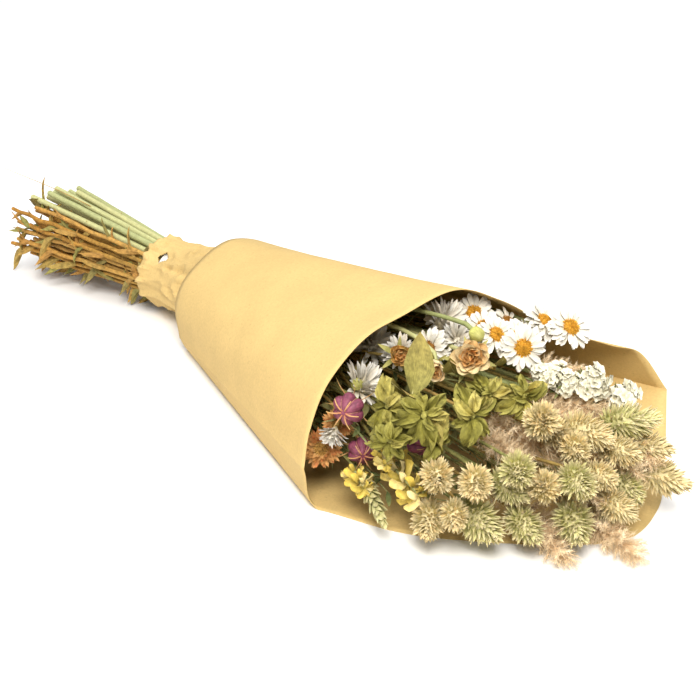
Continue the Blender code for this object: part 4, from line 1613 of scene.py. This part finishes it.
class BOUQUET_OT_stem_tie(Operator):
    """The white band round the stems"""

    bl_idname = "bouquet.stem_tie"
    bl_label = "Stem tie"
    bl_options = {"REGISTER", "UNDO"}

    def execute(self, context):
        settings = context.scene.bouquet
        white = tuple(settings.elastic)
        cloth = botanical("tie_band", white, white, None, 0.12, 30.0, 0.7)
        low, high = TIE_BOX
        middle = (low + high) / 2
        outer = (high.z - low.z) / 2 - 0.4 * MM
        turns, wire = 4, (high.x - low.x) / 9
        sides, around = 8, 64
        build = Build("white_stem_tie")
        for turn in range(turns):
            x = low.x + (high.x - low.x) * (turn + 0.5) / turns
            points, uvs = [], []
            for i in range(around):
                angle = 2 * math.pi * i / around
                out = Vector((0, math.cos(angle), math.sin(angle)))
                for k in range(sides):
                    way = 2 * math.pi * k / sides
                    r = outer - wire + wire * math.cos(way)
                    points.append(middle + out * r + Vector((x - middle.x + wire * math.sin(way), 0, 0)))
                    uvs.append((k / sides, i / around))
            faces = [
                (i * sides + k, (i + 1) % around * sides + k, (i + 1) % around * sides + (k + 1) % sides, i * sides + (k + 1) % sides)
                for i in range(around)
                for k in range(sides)
            ]
            build.add((points, faces, uvs), cloth)
        build.finish("elastic", "binding_tie")
        return {"FINISHED"}


# Stage

CAMERA_TURN = 46.0
CAMERA_TILT = 23.0
CAMERA_DISTANCE = 956.8
CAMERA_TARGET = Vector((134.3, 0.0, 36.8))
CAMERA_LENS = 85.0


def light(name, place, target, power, size, tint=(1, 1, 1)):
    lamp = bpy.data.lights.new(name, "AREA")
    lamp.energy, lamp.size, lamp.color = power, size, tint
    obj = bpy.data.objects.new(name, lamp)
    obj.location = place
    obj.rotation_euler = (target - obj.location).to_track_quat("-Z", "Y").to_euler()
    bpy.context.scene.collection.objects.link(obj)


class BOUQUET_OT_stage(Operator):
    """A pale floor, soft light and the camera"""

    bl_idname = "bouquet.stage"
    bl_label = "Stage"
    bl_options = {"REGISTER", "UNDO"}

    def execute(self, context):
        scene = context.scene
        turn, tilt = math.radians(CAMERA_TURN), math.radians(CAMERA_TILT)
        back = Vector(
            (math.sin(turn) * math.cos(tilt), -math.cos(turn) * math.cos(tilt), math.sin(tilt))
        )
        target = CAMERA_TARGET * MM + SHIFT
        camera = bpy.data.objects.new("camera", bpy.data.cameras.new("camera"))
        camera.location = target + back * CAMERA_DISTANCE * MM
        camera.rotation_euler = back.to_track_quat("Z", "Y").to_euler()
        camera.data.lens = CAMERA_LENS
        scene.collection.objects.link(camera)
        scene.camera = camera
        mesh = bpy.data.meshes.new("floor")
        mesh.from_pydata([(-4, -4, 0), (4, -4, 0), (4, 4, 0), (-4, 4, 0)], [], [(0, 1, 2, 3)])
        material, _, shader = shader_of("pale_floor", 0.9)
        shader.inputs["Base Color"].default_value = (0.92, 0.92, 0.92, 1)
        mesh.materials.append(material)
        floor = bpy.data.objects.new("floor", mesh)
        scene.collection.objects.link(floor)
        world = bpy.data.worlds.new("studio")
        world.use_nodes = True
        world.node_tree.nodes["Background"].inputs["Color"].default_value = (1, 1, 1, 1)
        world.node_tree.nodes["Background"].inputs["Strength"].default_value = 0.38
        scene.world = world
        scene.view_settings.view_transform = "Standard"
        light("key", Vector((0.85, -0.75, 1.1)), target, 27, 0.6, (1.0, 0.97, 0.92))
        light("overhead", Vector((0.0, 0.0, 2.5)), target, 75, 3.6)
        return {"FINISHED"}


# Add-on

OPERATORS = (
    BOUQUET_OT_stage,
    BOUQUET_OT_paper_sleeve,
    BOUQUET_OT_neck_cuff,
    BOUQUET_OT_stem_tie,
    BOUQUET_OT_daisies,
    BOUQUET_OT_papery_tufts,
    BOUQUET_OT_seed_buds,
    BOUQUET_OT_dry_roses,
    BOUQUET_OT_nigella_pods,
    BOUQUET_OT_strawflower,
    BOUQUET_OT_green_bracts,
    BOUQUET_OT_single_leaves,
    BOUQUET_OT_canary_grass,
    BOUQUET_OT_wheat_ear,
    BOUQUET_OT_yellow_sprigs,
    BOUQUET_OT_plumes,
    BOUQUET_OT_loose_sprays,
    BOUQUET_OT_statice,
    BOUQUET_OT_tail_leaves,
    BOUQUET_OT_fine_stems,
)


class BOUQUET_PT_panel(Panel):
    """Lists the bouquet's pieces and settings"""

    bl_idname = "BOUQUET_PT_panel"
    bl_label = "Dried Flower Bouquet"
    bl_space_type = "VIEW_3D"
    bl_region_type = "UI"
    bl_category = "Bouquet"

    def draw(self, context):
        for operator in OPERATORS:
            self.layout.operator(operator.bl_idname)
        for name in BouquetSettings.__annotations__:
            self.layout.prop(context.scene.bouquet, name)


def register():
    for item in (BouquetSettings, *OPERATORS, BOUQUET_PT_panel):
        bpy.utils.register_class(item)
    bpy.types.Scene.bouquet = PointerProperty(type=BouquetSettings)


def unregister():
    del bpy.types.Scene.bouquet
    for item in (BOUQUET_PT_panel, *reversed(OPERATORS), BouquetSettings):
        bpy.utils.unregister_class(item)


def main():
    register()
    for operator in OPERATORS:
        getattr(bpy.ops.bouquet, operator.bl_idname.split(".")[1])()
    clear_pieces()


if __name__ == "__main__":
    main()
